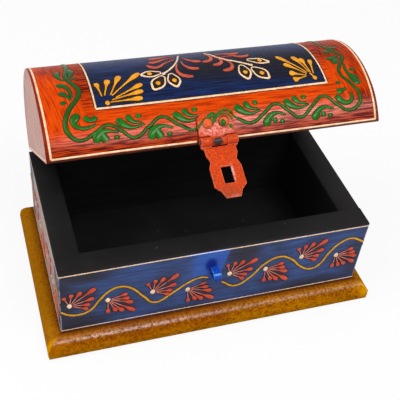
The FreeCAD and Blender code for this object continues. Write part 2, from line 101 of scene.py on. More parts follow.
# %% Helpers that place nodes
def paint(red, green, blue):
    """A colour as it is read off a screen, 0 to 255, as the linear colour that a shader takes."""
    parts = [part / 255 for part in (red, green, blue)]
    linear = [part / 12.92 if part <= 0.04045 else ((part + 0.055) / 1.055) ** 2.4 for part in parts]
    return (*linear, 1)


def add(tree, kind, inputs=None, **options):
    """Place one shader node, set its options, and fill or wire its inputs by name or number."""
    made = tree.nodes.new("ShaderNode" + kind)
    for option, value in options.items():
        setattr(made, option, value)
    for socket, value in (inputs or {}).items():
        if isinstance(value, bpy.types.NodeSocket):
            tree.links.new(value, made.inputs[socket])
        else:
            made.inputs[socket].default_value = value
    return made


def work_out(tree, operation, first, second=0.0):
    """One sum on masks or values."""
    return add(tree, "Math", {0: first, 1: second}, operation=operation).outputs[0]


def times(tree, *masks):
    """The product of some masks."""
    made = masks[0]
    for mask in masks[1:]:
        made = work_out(tree, "MULTIPLY", made, mask)
    return made


def most(tree, *masks):
    """The strongest of some masks at each point."""
    made = masks[0]
    for mask in masks[1:]:
        made = work_out(tree, "MAXIMUM", made, mask)
    return made


def spread(tree, value, low, high, to_low=0.0, to_high=1.0):
    """Stretch a value from low..high to to_low..to_high, smoothly and clamped."""
    limits = {"Value": value, "From Min": low, "From Max": high, "To Min": to_low, "To Max": to_high}
    return add(tree, "MapRange", limits, interpolation_type="SMOOTHSTEP").outputs[0]


def mix(tree, mask, under, over):
    """Lay one colour over another where the mask is 1."""
    return add(tree, "Mix", {0: mask, 6: under, 7: over}, data_type="RGBA").outputs[2]


def noise(tree, place, scale, detail, roughness=0.5):
    """Fractal noise at a place."""
    settings = {"Vector": place, "Scale": scale, "Detail": detail, "Roughness": roughness}
    return add(tree, "TexNoise", settings).outputs[0]


def blend(tree, mask, under, over, output):
    """Send one shader to the output where the mask is 0, and another where it is 1."""
    both = add(tree, "MixShader", {0: mask, 1: under.outputs[0], 2: over.outputs[0]})
    add(tree, output, {"Surface": both.outputs[0]})


# %% [markdown]
# ## Floor, surroundings and lamps
#
# A studio photograph on white needs a floor that reads as white and still takes a shadow. The floor is
# half paint, which darkens in shadow, and half glow, which only the camera and mirror-like reflections
# see. The surroundings work the same way. A soft lamp on the left fills that side. The main one in front
# is placed where the lid's lower front and the plinth's rounded edge mirror it to the camera, as the
# photograph shows.

# %% Lay the floor
floor_glow = 0.88
floor_grey = (0.85, 0.85, 0.85, 1)
floor_level = -0.3 * MM
floor_size = 8


def seen_rays(tree):
    """A mask that is 1 for what is seen straight, in a reflection or through something clear."""
    path = add(tree, "LightPath").outputs
    return most(tree, *(path[ray] for ray in ("Is Camera Ray", "Is Glossy Ray", "Is Transmission Ray")))


bpy.ops.object.select_all(action="DESELECT")
bpy.ops.mesh.primitive_plane_add(size=floor_size, location=(0, 0, floor_level))
floor = bpy.context.object
floor.name = "studio_floor"
floor_paint = bpy.data.materials.new("studio_floor")
floor_paint.use_nodes = True
floor.data.materials.append(floor_paint)
tree = floor_paint.node_tree
tree.nodes.clear()
matte = add(tree, "BsdfDiffuse", {"Color": floor_grey})
glow = add(tree, "Emission")
blend(tree, times(tree, seen_rays(tree), floor_glow), matte, glow, "OutputMaterial")

# %% Light the studio
world_light = 0.36
lamps = {
    "left_softbox": {"place": (-0.7, -0.05, 0.95), "wide": 0.7, "tall": 0.7, "watts": 6.5},
    "front_softbox": {"place": (0.33, -0.72, 1.1), "wide": 0.72, "tall": 0.42, "watts": 9.5},
}
lamp_aim = Vector((0, 0, 0.06))

world = bpy.data.worlds.new("studio")
bpy.context.scene.world = world
world.use_nodes = True
tree = world.node_tree
tree.nodes.clear()
room = add(tree, "Background", {"Color": (world_light, world_light, world_light, 1)})
white = add(tree, "Background", {"Color": (1, 1, 1, 1)})
blend(tree, seen_rays(tree), room, white, "OutputWorld")

for name, lamp in lamps.items():
    light = bpy.data.lights.new(name, "AREA")
    light.shape = "RECTANGLE"
    light.size = lamp["wide"]
    light.size_y = lamp["tall"]
    light.energy = lamp["watts"]
    holder = bpy.data.objects.new(name, light)
    bpy.context.scene.collection.objects.link(holder)
    holder.location = lamp["place"]
    holder.rotation_euler = (lamp_aim - holder.location).to_track_quat("-Z", "Y").to_euler()
print("lamps:", ", ".join(lamps))

# %% [markdown]
# ## Finishes
#
# Brushed ground, clouds of dark glaze, flecks and rubbed edges come back on nearly every painted face.
# They could be rebuilt in each material. They are node groups instead, made once, with sizes in
# millimetres as inputs, so a material reads like a painter's recipe.

# %% Make and use a node group
def effect(name, inputs, outputs):
    """An empty node group with its named inputs and outputs."""
    group = bpy.data.node_groups.new(name, "ShaderNodeTree")
    for socket, start in inputs.items():
        kind = "NodeSocketVector" if isinstance(start, tuple) else "NodeSocketFloat"
        made = group.interface.new_socket(socket, in_out="INPUT", socket_type=kind)
        made.default_value = start
    for socket in outputs:
        group.interface.new_socket(socket, in_out="OUTPUT", socket_type="NodeSocketFloat")
    return group, group.nodes.new("NodeGroupInput").outputs, group.nodes.new("NodeGroupOutput").inputs


def use(tree, group, **inputs):
    """Place a node group in a material with its own values, and give its first output."""
    return add(tree, "Group", inputs, node_tree=group).outputs[0]


# %% Brushed streaks, level along x and y
streaks, given, result = effect(
    "brushed streaks", {"Vector": (0, 0, 0), "Length": 30.0, "Width": 1.5, "Contrast": 0.2}, ["Streaks"]
)
sideways = work_out(streaks, "DIVIDE", 1.0, given["Length"])
upright = work_out(streaks, "DIVIDE", 1.0, given["Width"])
scale = add(streaks, "CombineXYZ", {0: sideways, 1: sideways, 2: upright}).outputs[0]
drawn = add(streaks, "VectorMath", {0: given["Vector"], 1: scale}, operation="MULTIPLY").outputs[0]
hairs = noise(streaks, drawn, 1.0, 4.0, 0.62)
below = work_out(streaks, "SUBTRACT", 0.5, given["Contrast"])
above = work_out(streaks, "ADD", 0.5, given["Contrast"])
streaks.links.new(spread(streaks, hairs, below, above), result["Streaks"])

# %% Clouds of glaze
clouds, given, result = effect(
    "clouds of glaze", {"Vector": (0, 0, 0), "Size": 30.0, "Coverage": 0.5, "Softness": 0.15}, ["Glaze"]
)
fineness = work_out(clouds, "DIVIDE", 1.0, given["Size"])
cloud = noise(clouds, given["Vector"], fineness, 6.0, 0.58)
middle = spread(clouds, given["Coverage"], 0.0, 1.0, 0.75, 0.25)
below = work_out(clouds, "SUBTRACT", middle, given["Softness"])
above = work_out(clouds, "ADD", middle, given["Softness"])
clouds.links.new(spread(clouds, cloud, below, above), result["Glaze"])

# %% Flecks and pits
flecks, given, result = effect(
    "flecks", {"Vector": (0, 0, 0), "Size": 2.0, "Coverage": 0.3}, ["Flecks"]
)
fineness = work_out(flecks, "DIVIDE", 1.0, given["Size"])
cells = add(flecks, "TexVoronoi", {"Vector": given["Vector"], "Scale": fineness, "Randomness": 1.0})
lot = add(flecks, "SeparateColor", {0: cells.outputs["Color"]}).outputs[0]
chosen = work_out(flecks, "LESS_THAN", lot, given["Coverage"])
disc = spread(flecks, cells.outputs["Distance"], 0.42, 0.22)
flecks.links.new(times(flecks, chosen, disc), result["Flecks"])

# %% A soft-edged patch, and a rubbed edge
patch, given, result = effect(
    "soft patch", {"Vector": (0, 0, 0), "Centre": (0, 0, 0), "Reach": (10, 10, 10), "Edge": 0.2}, ["Patch"]
)
away = add(patch, "VectorMath", {0: given["Vector"], 1: given["Centre"]}, operation="SUBTRACT").outputs[0]
share = add(patch, "VectorMath", {0: away, 1: given["Reach"]}, operation="DIVIDE").outputs[0]
distance = add(patch, "VectorMath", {0: share}, operation="LENGTH").outputs["Value"]
outside = work_out(patch, "ADD", 1.0, given["Edge"])
inside = work_out(patch, "SUBTRACT", 1.0, given["Edge"])
patch.links.new(spread(patch, distance, outside, inside), result["Patch"])

rubbed, given, result = effect(
    "rubbed edge", {"Vector": (0, 0, 0), "Reach": 0.0008, "Amount": 0.5}, ["Wear"]
)
rounded = add(rubbed, "Bevel", {"Radius": given["Reach"]}, samples=6).outputs[0]
flat = add(rubbed, "NewGeometry").outputs["Normal"]
lean = add(rubbed, "VectorMath", {0: rounded, 1: flat}, operation="DOT_PRODUCT").outputs["Value"]
edge = spread(rubbed, lean, 0.995, 0.86)
ragged = noise(rubbed, given["Vector"], 0.35, 5.0)
limit = work_out(rubbed, "SUBTRACT", 1.0, given["Amount"])
torn = spread(rubbed, times(rubbed, edge, ragged), times(rubbed, limit, 0.6), 0.6)
rubbed.links.new(torn, result["Wear"])
print("node groups:", ", ".join(group.name for group in bpy.data.node_groups))


# %% Start a finish
light_haze = (1.0, 0.88, 0.84, 1)
side_haze = (1.0, 0.82, 0.74, 1)
haze_roughness = 0.3
warm_gloss = (1.0, 0.7, 0.5, 1)


def finish_of(name, roughness, gloss, bloom=0.0, shine=0.0, shine_roughness=0.2, haze=light_haze):
    """A new material, its Principled shader and the piece's own place in millimetres.

    Gloss stays low, because the white room would wash the colours out. Shine is a coat of thick varnish.
    Bloom is the waxy haze of old varnish, which shows only where a face is seen at a grazing angle.
    """
    material = bpy.data.materials.new(name)
    material.use_nodes = True
    tree = material.node_tree
    shader = tree.nodes["Principled BSDF"]
    settings = {
        "Roughness": roughness, "Specular IOR Level": gloss, "Specular Tint": warm_gloss,
        "Coat Weight": shine, "Coat Roughness": shine_roughness,
        "Sheen Weight": bloom, "Sheen Roughness": haze_roughness, "Sheen Tint": haze,
    }
    for socket, value in settings.items():
        shader.inputs[socket].default_value = value
    place = add(tree, "TexCoord").outputs["Object"]
    place = add(tree, "VectorMath", {0: place, "Scale": 1 / MM}, operation="SCALE").outputs[0]
    return material, tree, shader, place


def lay_on(tree, shader, height, depth_mm, **masks):
    """Wire colour and masks to a shader, and let a height mask lift the paint by so many millimetres."""
    bump = add(tree, "Bump", {"Strength": 1.0, "Distance": depth_mm * MM, "Height": height})
    tree.links.new(bump.outputs["Normal"], shader.inputs["Normal"])
    for socket, mask in masks.items():
        tree.links.new(mask, shader.inputs[socket.replace("_", " ")])


# %% [markdown]
# ## Paint of the wooden grounds
#
# Each ground is a brushed colour, a darker glaze wiped over it in clouds, and a varnish. The blue goes
# nearly black where the glaze stayed on, and around the flowers most of all. The flowers' places are
# known in code, so the walls will carry a "wash" attribute that says how near a flower is, and a "corner"
# attribute for the rubbed upright edges. When the staple was fitted, the blue around it was touched up
# with a brighter coat. The rim and the inside were brushed over once in a dull black.

# %% Blue of the walls
touched_slant = 0.22
touched_right, touched_middle = 2.0, 33.0
touched_left = (-19.0, -12.0)
touched_foot = (23.0, 29.0)


def blue_walls(name, front, base, bloom):
    """The walls' paint; front is the front face's y and base the walls' foot, both in millimetres."""
    material, tree, shader, place = finish_of(name, 0.5, 0.1, bloom, haze=side_haze)
    brush = use(tree, streaks, Vector=place, Length=14.0, Width=1.3, Contrast=0.2)
    glaze = use(tree, clouds, Vector=place, Size=24.0, Coverage=0.42, Softness=0.18)
    wash = add(tree, "Attribute", attribute_name="wash").outputs["Fac"]
    dark = most(tree, times(tree, glaze, 0.6), wash)
    dark = times(tree, dark, spread(tree, brush, 0.0, 1.0, 1.0, 0.86))
    ground = mix(tree, brush, paint(47, 65, 108), paint(60, 85, 140))
    colour = mix(tree, dark, ground, paint(44, 42, 45))

    x, y, z = add(tree, "SeparateXYZ", {0: place}).outputs
    slant = work_out(tree, "SUBTRACT", x, times(tree, z, touched_slant))
    right_end = touched_right - touched_slant * (base + touched_middle)
    touched = times(tree, spread(tree, slant, right_end + 0.5, right_end - 0.3),
                    spread(tree, x, *touched_left),
                    spread(tree, z, *(base + height for height in touched_foot)),
                    spread(tree, y, front + 1.0, front + 0.3))
    colour = mix(tree, touched, colour, mix(tree, brush, paint(44, 80, 156), paint(54, 94, 176)))
    smudge_place = (-5.6, front, base + 36.0)
    smudge = use(tree, patch, Vector=place, Centre=smudge_place, Reach=(3.4, 4.0, 4.8), Edge=0.4)
    colour = mix(tree, times(tree, smudge, 0.9), colour, paint(4, 28, 122))

    corner = add(tree, "Attribute", attribute_name="corner").outputs["Fac"]
    ragged = noise(tree, place, 0.3, 5.0)
    wear = spread(tree, times(tree, corner, ragged), 0.3, 0.5)
    colour = mix(tree, times(tree, wear, 0.75), colour, paint(150, 140, 158))
    lay_on(tree, shader, brush, 0.04, Base_Color=colour)
    return material


# %% Black of the rim and the inside
def black_inside():
    """A dull brushed black with a few pale specks of dust."""
    material, tree, shader, place = finish_of("black_inside_paint", 0.62, 0.1)
    brush = use(tree, streaks, Vector=place, Length=26.0, Width=3.0, Contrast=0.26)
    colour = mix(tree, brush, paint(25, 25, 26), paint(33, 33, 34))
    specks = use(tree, flecks, Vector=place, Size=2.0, Coverage=0.006)
    colour = mix(tree, specks, colour, paint(66, 58, 48))
    lay_on(tree, shader, brush, 0.04, Base_Color=colour)
    return material


# %% [markdown]
# The plinth's edge is rolled over and mitred at the corners, and lamplight runs along the front roll in
# one bright line. The varnish is therefore a band in front of the wall, broken by fine pits. Below it the
# ochre is bruised brown. Its ends, and a little of the front's right half, are a brighter, yellower ochre,
# which is painted light, and the ochre turns yellower towards the floor, which is painted light thrown up
# from the floor. A dark line along the foot of the walls is painted shade. Each band is given as the
# distances, in millimetres out from the wall, over which it fades in and out.

# %% Ochre of the plinth
shining_band = ((1.8, 3.6), (7.0, 5.7))
bruised_band = ((4.6, 5.6), (8.6, 7.4))


def ochre_plinth(half_long, half_deep):
    """The plinth's paint, redder and browner where the walls stand on it, with painted shade at their foot.
    """
    material, tree, shader, place = finish_of("ochre_plinth_paint", 0.4, 0.0, shine_roughness=0.23)
    x, y, z = add(tree, "SeparateXYZ", {0: place}).outputs
    glaze = use(tree, clouds, Vector=place, Size=16.0, Coverage=0.5, Softness=0.2)
    fine = use(tree, clouds, Vector=place, Size=1.6, Coverage=0.45, Softness=0.14)
    beside = work_out(tree, "SUBTRACT", work_out(tree, "ABSOLUTE", x), half_long)
    before = work_out(tree, "SUBTRACT", work_out(tree, "ABSOLUTE", y), half_deep)
    ground = mix(tree, glaze, paint(174, 104, 3), paint(150, 82, 3))
    past_mitre = work_out(tree, "SUBTRACT", beside, before)
    on_end = most(tree, spread(tree, past_mitre, -0.5, 0.5), spread(tree, x, 0.0, 10.0))
    # Brighter, yellower ochre on the ends and a little on the front's right half: painted light.
    ends = times(tree, on_end, spread(tree, beside, 0.4, 5.5, 0.25, 0.95))
    ground = mix(tree, ends, ground, paint(216, 148, 8))
    # Yellower towards the floor: painted light thrown up from the floor.
    ground = mix(tree, spread(tree, z, 8.0, 1.0, 0.0, 0.8), ground, paint(166, 116, 8))
    mottle = times(tree, fine, spread(tree, beside, 0.0, 4.0, 0.75, 0.35))
    colour = mix(tree, mottle, ground, paint(104, 50, 3))
    pits = use(tree, flecks, Vector=place, Size=1.5, Coverage=0.22)
    pitted = use(tree, clouds, Vector=place, Size=34.0, Coverage=0.45, Softness=0.1)
    colour = mix(tree, times(tree, pits, pitted, 0.85), colour, paint(66, 26, 4))
    bruises = use(tree, clouds, Vector=place, Size=1.3, Coverage=0.5, Softness=0.12)
    bruises = times(tree, bruises, *(spread(tree, before, *fade) for fade in bruised_band),
                    spread(tree, beside, -1.0, -6.0, 0.0, 0.6))
    colour = mix(tree, bruises, colour, paint(104, 38, 4))
    colour = mix(tree, spread(tree, before, 4.0, 1.6, 0.0, 0.55), colour, paint(112, 54, 14))
    # A dark line along the foot of the walls, weaker on the ends: painted shade.
    from_wall = most(tree, beside, before)
    painted_wall_shade = times(tree, spread(tree, from_wall, 2.0, 0.3), spread(tree, past_mitre, -0.5, 0.5, 0.85, 0.4))
    colour = mix(tree, painted_wall_shade, colour, paint(82, 34, 4))
    edge = times(tree, *(spread(tree, before, *fade) for fade in shining_band),
                 spread(tree, fine, 0.0, 1.0, 1.0, 0.25), spread(tree, x, -60.0, 20.0, 1.0, 0.4),
                 spread(tree, past_mitre, 0.3, -0.5))
    lay_on(tree, shader, fine, 0.08, Base_Color=colour, Coat_Weight=edge)
    return material


# %% [markdown]
# The lid was brushed lengthways along its front and slantwise up its borders, so the dark glaze stays in
# fine streaks. It is thickest along the foot, at the right corner and beside the blue field. All of this
# is laid out on the flat board's own map, in millimetres along the lid and up from its nearer foot over
# the arch. A patch there is its centre, its reach and its strength. The blue field turns paler towards
# the crown, which is painted light. The lid's two ends are a plain red brown, brushed upright and gone
# hazy; their pale streaks are partly painted reflection of that haze.

# %% Orange and blue of the lid
brown_patches = (
    ((-67.0, 47.0), (5.5, 22.0), 1.0), ((75.0, 58.0), (15.0, 18.0), 1.0), ((88.0, 8.0), (14.0, 14.0), 0.95),
    ((-74.0, 66.0), (16.0, 14.0), 0.8), ((86.0, 40.0), (4.0, 26.0), 0.7), ((60.0, 6.0), (40.0, 7.0), 0.6),
)
black_patches = (((14.0, 56.0), (44.0, 22.0), 1.0), ((48.0, 46.0), (24.0, 16.0), 1.0))
left_varnish = (((-34.0, 10.5), (60.0, 6.0), 1.0),)
right_varnish = (((46.0, 7.5), (56.0, 9.0), 1.9),)
slanting_turn = math.radians(-80)


def patches(tree, spot, edge, rows):
    """The strongest of some soft-edged patches at each point."""
    made = []
    for centre, reach, strength in rows:
        soft = use(tree, patch, Vector=spot, Centre=(*centre, 0), Reach=(*reach, 1), Edge=edge)
        made.append(times(tree, soft, strength))
    return most(tree, *made)


def painted_lid(half_length, length_over, panel_from, panel_to, panel_start):
    """The lid's paint: an orange border, redder and browner in places, round a blue field gone black."""
    material, tree, shader, _ = finish_of("orange_lid_paint", 0.36, 0.03, shine_roughness=0.26)
    sheet = add(tree, "UVMap").outputs[0]
    size = {"Scale": (2 * half_length, length_over, 1), "Location": (-half_length, 0, 0)}
    sheet = add(tree, "Mapping", {"Vector": sheet, **size}).outputs[0]
    across = add(tree, "SeparateXYZ", {0: sheet}).outputs
    past_crown = work_out(tree, "SUBTRACT", across[1], length_over / 2)
    from_edge = work_out(tree, "SUBTRACT", length_over / 2, work_out(tree, "ABSOLUTE", past_crown))
    lying = add(tree, "CombineXYZ", {0: across[0], 2: from_edge}).outputs[0]
    spot = add(tree, "CombineXYZ", {0: across[0], 1: from_edge}).outputs[0]
    to_end = work_out(tree, "ABSOLUTE", across[0])

    along = use(tree, streaks, Vector=lying, Length=15.0, Width=0.95, Contrast=0.11)
    turned = add(tree, "Mapping", {"Vector": lying, "Rotation": (0, slanting_turn, 0)}).outputs[0]
    slanting = use(tree, streaks, Vector=turned, Length=11.0, Width=1.0, Contrast=0.14)
    border = times(tree, spread(tree, to_end, 67.0, 72.0), spread(tree, from_edge, 12.0, 17.0))
    brush = add(tree, "Mix", {0: border, 2: along, 3: slanting}).outputs[0]
    glaze = use(tree, clouds, Vector=lying, Size=18.0, Coverage=0.4, Softness=0.16)

    dark = most(tree, spread(tree, from_edge, 13.0, 5.5), times(tree, glaze, 0.35),
                patches(tree, spot, 0.5, brown_patches))
    dark = times(tree, dark, spread(tree, brush, 0.0, 1.0, 0.42, 1.0))
    hairs = spread(tree, brush, 0.6, 1.0, 0.0, 0.36)
    orange = mix(tree, brush, paint(220, 76, 6), paint(198, 56, 6))
    orange = mix(tree, most(tree, dark, hairs), orange, paint(88, 12, 8))
    orange = mix(tree, spread(tree, from_edge, 1.6, 1.0, 0.0, 0.85), orange, paint(70, 34, 24))
    rim = spread(tree, to_end, half_length - 1.9, half_length - 1.3, 0.0, 0.8)
    orange = mix(tree, rim, orange, paint(104, 28, 18))

    beside = work_out(tree, "MINIMUM", work_out(tree, "SUBTRACT", across[0], panel_from),
                      work_out(tree, "SUBTRACT", panel_to, across[0]))
    above = work_out(tree, "SUBTRACT", from_edge, panel_start)
    inside = spread(tree, work_out(tree, "MINIMUM", beside, above), -0.15, 0.15)
    wide_brush = use(tree, streaks, Vector=lying, Length=20.0, Width=1.3, Contrast=0.2)
    field = mix(tree, wide_brush, paint(14, 20, 38), paint(26, 48, 98))
    black = most(tree, patches(tree, spot, 0.4, black_patches), times(tree, glaze, 0.7))
    black = times(tree, black, spread(tree, wide_brush, 0.0, 1.0, 1.0, 0.75))
    field = mix(tree, black, field, paint(28, 26, 29))
    # Paler blue towards the crown: painted light on the top of the arch.
    field = mix(tree, spread(tree, from_edge, 48.0, 70.0, 0.0, 0.5), field, paint(66, 74, 116))
    colour = mix(tree, inside, orange, field)
    thick = most(tree, patches(tree, spot, 0.5, left_varnish), patches(tree, spot, 0.45, right_varnish))
    thick = times(tree, thick, spread(tree, brush, 0.0, 1.0, 0.45, 0.14))
    lay_on(tree, shader, brush, 0.08, Base_Color=colour, Coat_Weight=thick)
    return material


# %% Red-brown of the lid's ends
def red_lid_end():
    """A worn red brown, brushed upright, under the waxy haze of a face seen at a slant."""
    material, tree, shader, place = finish_of("red_lid_end_paint", 0.45, 0.15, bloom=1.0)
    upright = add(tree, "Mapping", {"Vector": place, "Rotation": (math.radians(90), 0, 0)}).outputs[0]
    brush = use(tree, streaks, Vector=upright, Length=30.0, Width=4.5, Contrast=0.18)
    glaze = use(tree, clouds, Vector=place, Size=16.0, Coverage=0.4, Softness=0.15)
    # The pale streak colour is partly painted reflection: the ends are lightened towards their glare at a
    # slant.
    ground = mix(tree, brush, paint(226, 128, 92), paint(158, 66, 44))
    colour = mix(tree, times(tree, glaze, 0.5), ground, paint(120, 52, 38))
    lay_on(tree, shader, brush, 0.3, Base_Color=colour)
    return material


# %% [markdown]
# ## Paste colours and ironwork
#
# The raised paste is one colour per cone, a little deeper where it is thin, with an uneven, slightly
# glossy skin. Green comes from two cones, a thinner one for the vine and a full one for its leaves. On
# the short walls the paste is hazy, and its duller colours there are painted glare. The hasp and the
# staple were painted over in place, and the paint has chipped to bare iron. Some spots on them, and the
# rivets' lighter orange, are painted shade, sheen and highlight. The hinges and pins are plain iron,
# brown with age.

# %% Raised paste
def paste(name, colour, shade, roughness=0.3, gloss=0.05, shine=0.24, spots=(), bloom=0.0):
    """Dried paste; each spot is a place, its reach and the colour there."""
    material, tree, shader, place = finish_of(name, roughness, gloss, bloom, shine, 0.14, side_haze)
    uneven = use(tree, clouds, Vector=place, Size=2.6, Coverage=0.5, Softness=0.2)
    tint = mix(tree, times(tree, uneven, 0.75), colour, shade)
    for centre, reach, over in spots:
        spot = use(tree, patch, Vector=place, Centre=centre, Reach=reach, Edge=0.2)
        tint = mix(tree, spot, tint, over)
    lay_on(tree, shader, noise(tree, place, 1.1, 3.0), 0.12, Base_Color=tint)
    return material


def beside_crown(colour):
    """Spots where the climbing vine darkens at both sides of the crown."""
    return [((side * 75.0, 0.0, 142.0), (16.0, 30.0, 7.0), colour) for side in (-1, 1)]


def side_paste(name, colour, shade):
    """Paste on the short walls, under a waxy haze as they are seen at a slant, in duller colours: painted
    glare.
    """
    return paste(name, colour, shade, roughness=0.5, shine=0.0, bloom=1.0)


night_colours = paint(38, 40, 50), paint(46, 40, 44)
# A painted highlight: the front wall's top ivory line turns bluish white above the staple.
painted_line_highlight = [((-9.0, -52.7, 60.0), (10.5, 3.0, 3.0), paint(226, 226, 244))]
paste_green = paste("paste_green", paint(24, 112, 8), paint(14, 74, 6), shine=0.28,
                    spots=beside_crown(paint(14, 84, 14)))
paste_vine = paste("paste_vine", paint(40, 104, 14), paint(24, 70, 8), shine=0.2,
                   spots=beside_crown(paint(20, 80, 12)))
paste_yellow = paste("paste_yellow", paint(236, 164, 32), paint(208, 122, 16))
paste_mustard = paste("paste_mustard", paint(214, 160, 36), paint(172, 114, 16))
paste_ivory = paste("paste_ivory", paint(248, 218, 182), paint(214, 166, 116), spots=painted_line_highlight)
paste_red = paste("paste_red", paint(208, 82, 54), paint(174, 56, 40))
paste_pink = paste("paste_pink", paint(222, 138, 122), paint(196, 92, 76))
paste_salmon = paste("paste_salmon", paint(202, 84, 58), paint(166, 56, 42))
# Brown of the dark rims and hearts on the lid; round the green and the frame lines the rim is painted
# shade.
brown_wash_and_painted_shade = paste("brown_wash_and_painted_shade", paint(38, 31, 27), paint(48, 34, 26), roughness=0.6, shine=0.0)
wash_night = paste("wash_night", *night_colours, roughness=0.6, shine=0.0)
side_wash = paste("side_wash", *night_colours, roughness=0.6, shine=0.0, bloom=1.0)
# Duller, paler copies of the long walls' paste colours: painted glare of a face seen at a slant.
side_mustard = side_paste("side_mustard", paint(196, 150, 60), paint(160, 112, 40))
side_red = side_paste("side_red", paint(196, 82, 62), paint(166, 62, 48))
side_pink = side_paste("side_pink", paint(200, 126, 112), paint(176, 92, 78))
side_ivory = side_paste("side_ivory", paint(214, 184, 156), paint(190, 150, 116))


# %% Painted and bare iron
torn_edge = 0.5


def painted_iron(name, colour, shade, chip, rub, spots=()):
    """Thick paint on iron, rubbed along its edges.

    A spot is a place, its reach, how soft its edge is and its colour. The softest ones are torn as well.
    """
    material, tree, shader, place = finish_of(name, 0.4, 0.03, shine=0.2, shine_roughness=0.18)
    uneven = use(tree, clouds, Vector=place, Size=0.9, Coverage=0.5, Softness=0.14)
    chips = use(tree, clouds, Vector=place, Size=3.0, Coverage=0.2, Softness=0.05)
    wear = use(tree, rubbed, Vector=place, Reach=0.0009, Amount=0.72)
    tint = mix(tree, uneven, colour, shade)
    torn = spread(tree, noise(tree, place, 0.9, 3.0), 0.35, 0.6)
    for centre, reach, edge, over in spots:
        spot = use(tree, patch, Vector=place, Centre=centre, Reach=reach, Edge=edge)
        ragged = torn if edge > torn_edge else 1.0
        tint = mix(tree, times(tree, spot, ragged), tint, over)
    tint = mix(tree, times(tree, wear, 0.85), tint, rub)
    height = work_out(tree, "SUBTRACT", uneven, chips)
    lay_on(tree, shader, height, 0.12, Base_Color=mix(tree, chips, tint, chip),
           Roughness=spread(tree, chips, 0.0, 1.0, 0.34, 0.6))
    return material


def bare_iron(name, colour, rust):
    """Plain iron under clouds of rust, which is rougher and hardly mirrors."""
    material, tree, shader, place = finish_of(name, 0.45, 0.5)
    bloom = use(tree, clouds, Vector=place, Size=2.6, Coverage=0.5, Softness=0.15)
    lay_on(tree, shader, bloom, 0.05, Base_Color=mix(tree, bloom, colour, rust),
           Metallic=spread(tree, bloom, 0.0, 1.0, 0.9, 0.25),
           Roughness=spread(tree, bloom, 0.0, 1.0, 0.36, 0.7))
    return material


dark_iron = paint(62, 36, 30)
orange_rub = paint(226, 160, 144)
dark_rub = paint(142, 50, 34)
# A dark red ring round each rivet on the leaf: painted shade.
painted_rivet_shade = [((x, -28.2, 131.4), (3.1, 3.1, 3.1), 0.15, paint(112, 26, 18)) for x in (-7.9, 1.1)]
# A pale pink patch on the leaf between the rivets and the knuckles: painted sheen.
painted_pink_sheen = [((-3.4, -30.8, 128.6), (10.0, 3.0, 3.0), 0.6, paint(232, 152, 138))]
bare_patch = [((-4.6, -37.4, 126.2), (2.8, 2.2, 2.6), 0.3, paint(62, 46, 44))]
slot_wall = [((-0.4, -53.5, 119.2), (0.7, 5.0, 4.0), 0.6, paint(236, 204, 202))]
tip_stain = [((-5.4, -64.0, 113.4), (6.0, 5.0, 5.0), 0.8, paint(150, 66, 40))]
leaf_paint = painted_iron("orange_leaf_paint", paint(222, 78, 20), paint(196, 56, 22),
                          dark_iron, dark_rub, painted_pink_sheen + painted_rivet_shade + bare_patch)
plate_paint = painted_iron("orange_hasp_paint", paint(220, 76, 14), paint(182, 54, 22),
                           dark_iron, orange_rub, slot_wall + tip_stain)
# The rivets' orange is lighter than the leaf's: partly painted highlight on their domes.
rivet_paint = painted_iron("orange_rivet_paint", paint(240, 112, 58), paint(222, 84, 36),
                           dark_iron, orange_rub)
# Darker navy on the staple's lower front, painted shade in its eye between the legs, and a painted
# highlight along its upper bend.
staple_painted_shade_and_highlight = [
    ((-3.4, -60.0, 41.6), (5.0, 2.0, 2.8), 0.3, paint(8, 48, 138)),
    ((-3.4, -56.2, 43.85), (5.0, 2.6, 2.1), 0.1, paint(8, 12, 84)),
    ((-3.4, -58.9, 46.9), (2.8, 0.7, 0.6), 0.5, paint(96, 150, 220)),
]
staple_paint = painted_iron("blue_staple_paint", paint(22, 84, 192), paint(14, 62, 164),
                            paint(10, 24, 70), paint(150, 186, 232), staple_painted_shade_and_highlight)
hinge_iron = bare_iron("hinge_iron", paint(92, 88, 84), paint(74, 50, 36))
pin_iron = bare_iron("pin_iron", paint(110, 106, 102), paint(66, 46, 36))
end_red = red_lid_end()
inside_black = black_inside()
print("finishes:", len(bpy.data.materials))

# %% [markdown]
# ## Tools for the bench
#
# A few small moves come back for every piece: pick one object, put its place into its mesh, coat it with
# a finish, apply a modifier, and round chosen edges. Edges and faces are chosen by where they are, so
# nothing depends on Blender's numbering.

# %% Bench moves
crease = 40
weld_gap = 0.005 * MM
flat_turn = 1


def pick(piece):
    """Deselect everything else and make this piece the active one."""
    bpy.ops.object.select_all(action="DESELECT")
    piece.select_set(True)
    bpy.context.view_layer.objects.active = piece


def settle(piece):
    """Put the piece's place, turn and size into its mesh."""
    pick(piece)
    bpy.ops.object.transform_apply(location=True, rotation=True, scale=True)


def move(piece, place):
    """Shift the piece and settle it there."""
    piece.location = place
    settle(piece)


def rotate(piece, x=0.0, z=0.0):
    """Turn the piece about the frame's x and then its z axis, in degrees, and settle it."""
    piece.rotation_euler = (math.radians(x), 0.0, math.radians(z))
    settle(piece)


def on_bench(name, data):
    """A new object with this mesh or curve, in the scene and picked."""
    piece = bpy.data.objects.new(name, data)
    bpy.context.scene.collection.objects.link(piece)
    pick(piece)
    return piece


def polyline(name, points, closed=False, **settings):
    """A curve that steps straight through some points."""
    curve = bpy.data.curves.new(name, "CURVE")
    for setting, value in settings.items():
        setattr(curve, setting, value)
    line = curve.splines.new("POLY")
    line.points.add(len(points) - 1)
    line.use_cyclic_u = closed
    for knot, point in zip(line.points, points):
        knot.co = (*point, 1)
    return on_bench(name, curve)


def coat(piece, *materials):
    """Give a piece these finishes in place of any that it has."""
    piece.data.materials.clear()
    for material in materials:
        piece.data.materials.append(material)


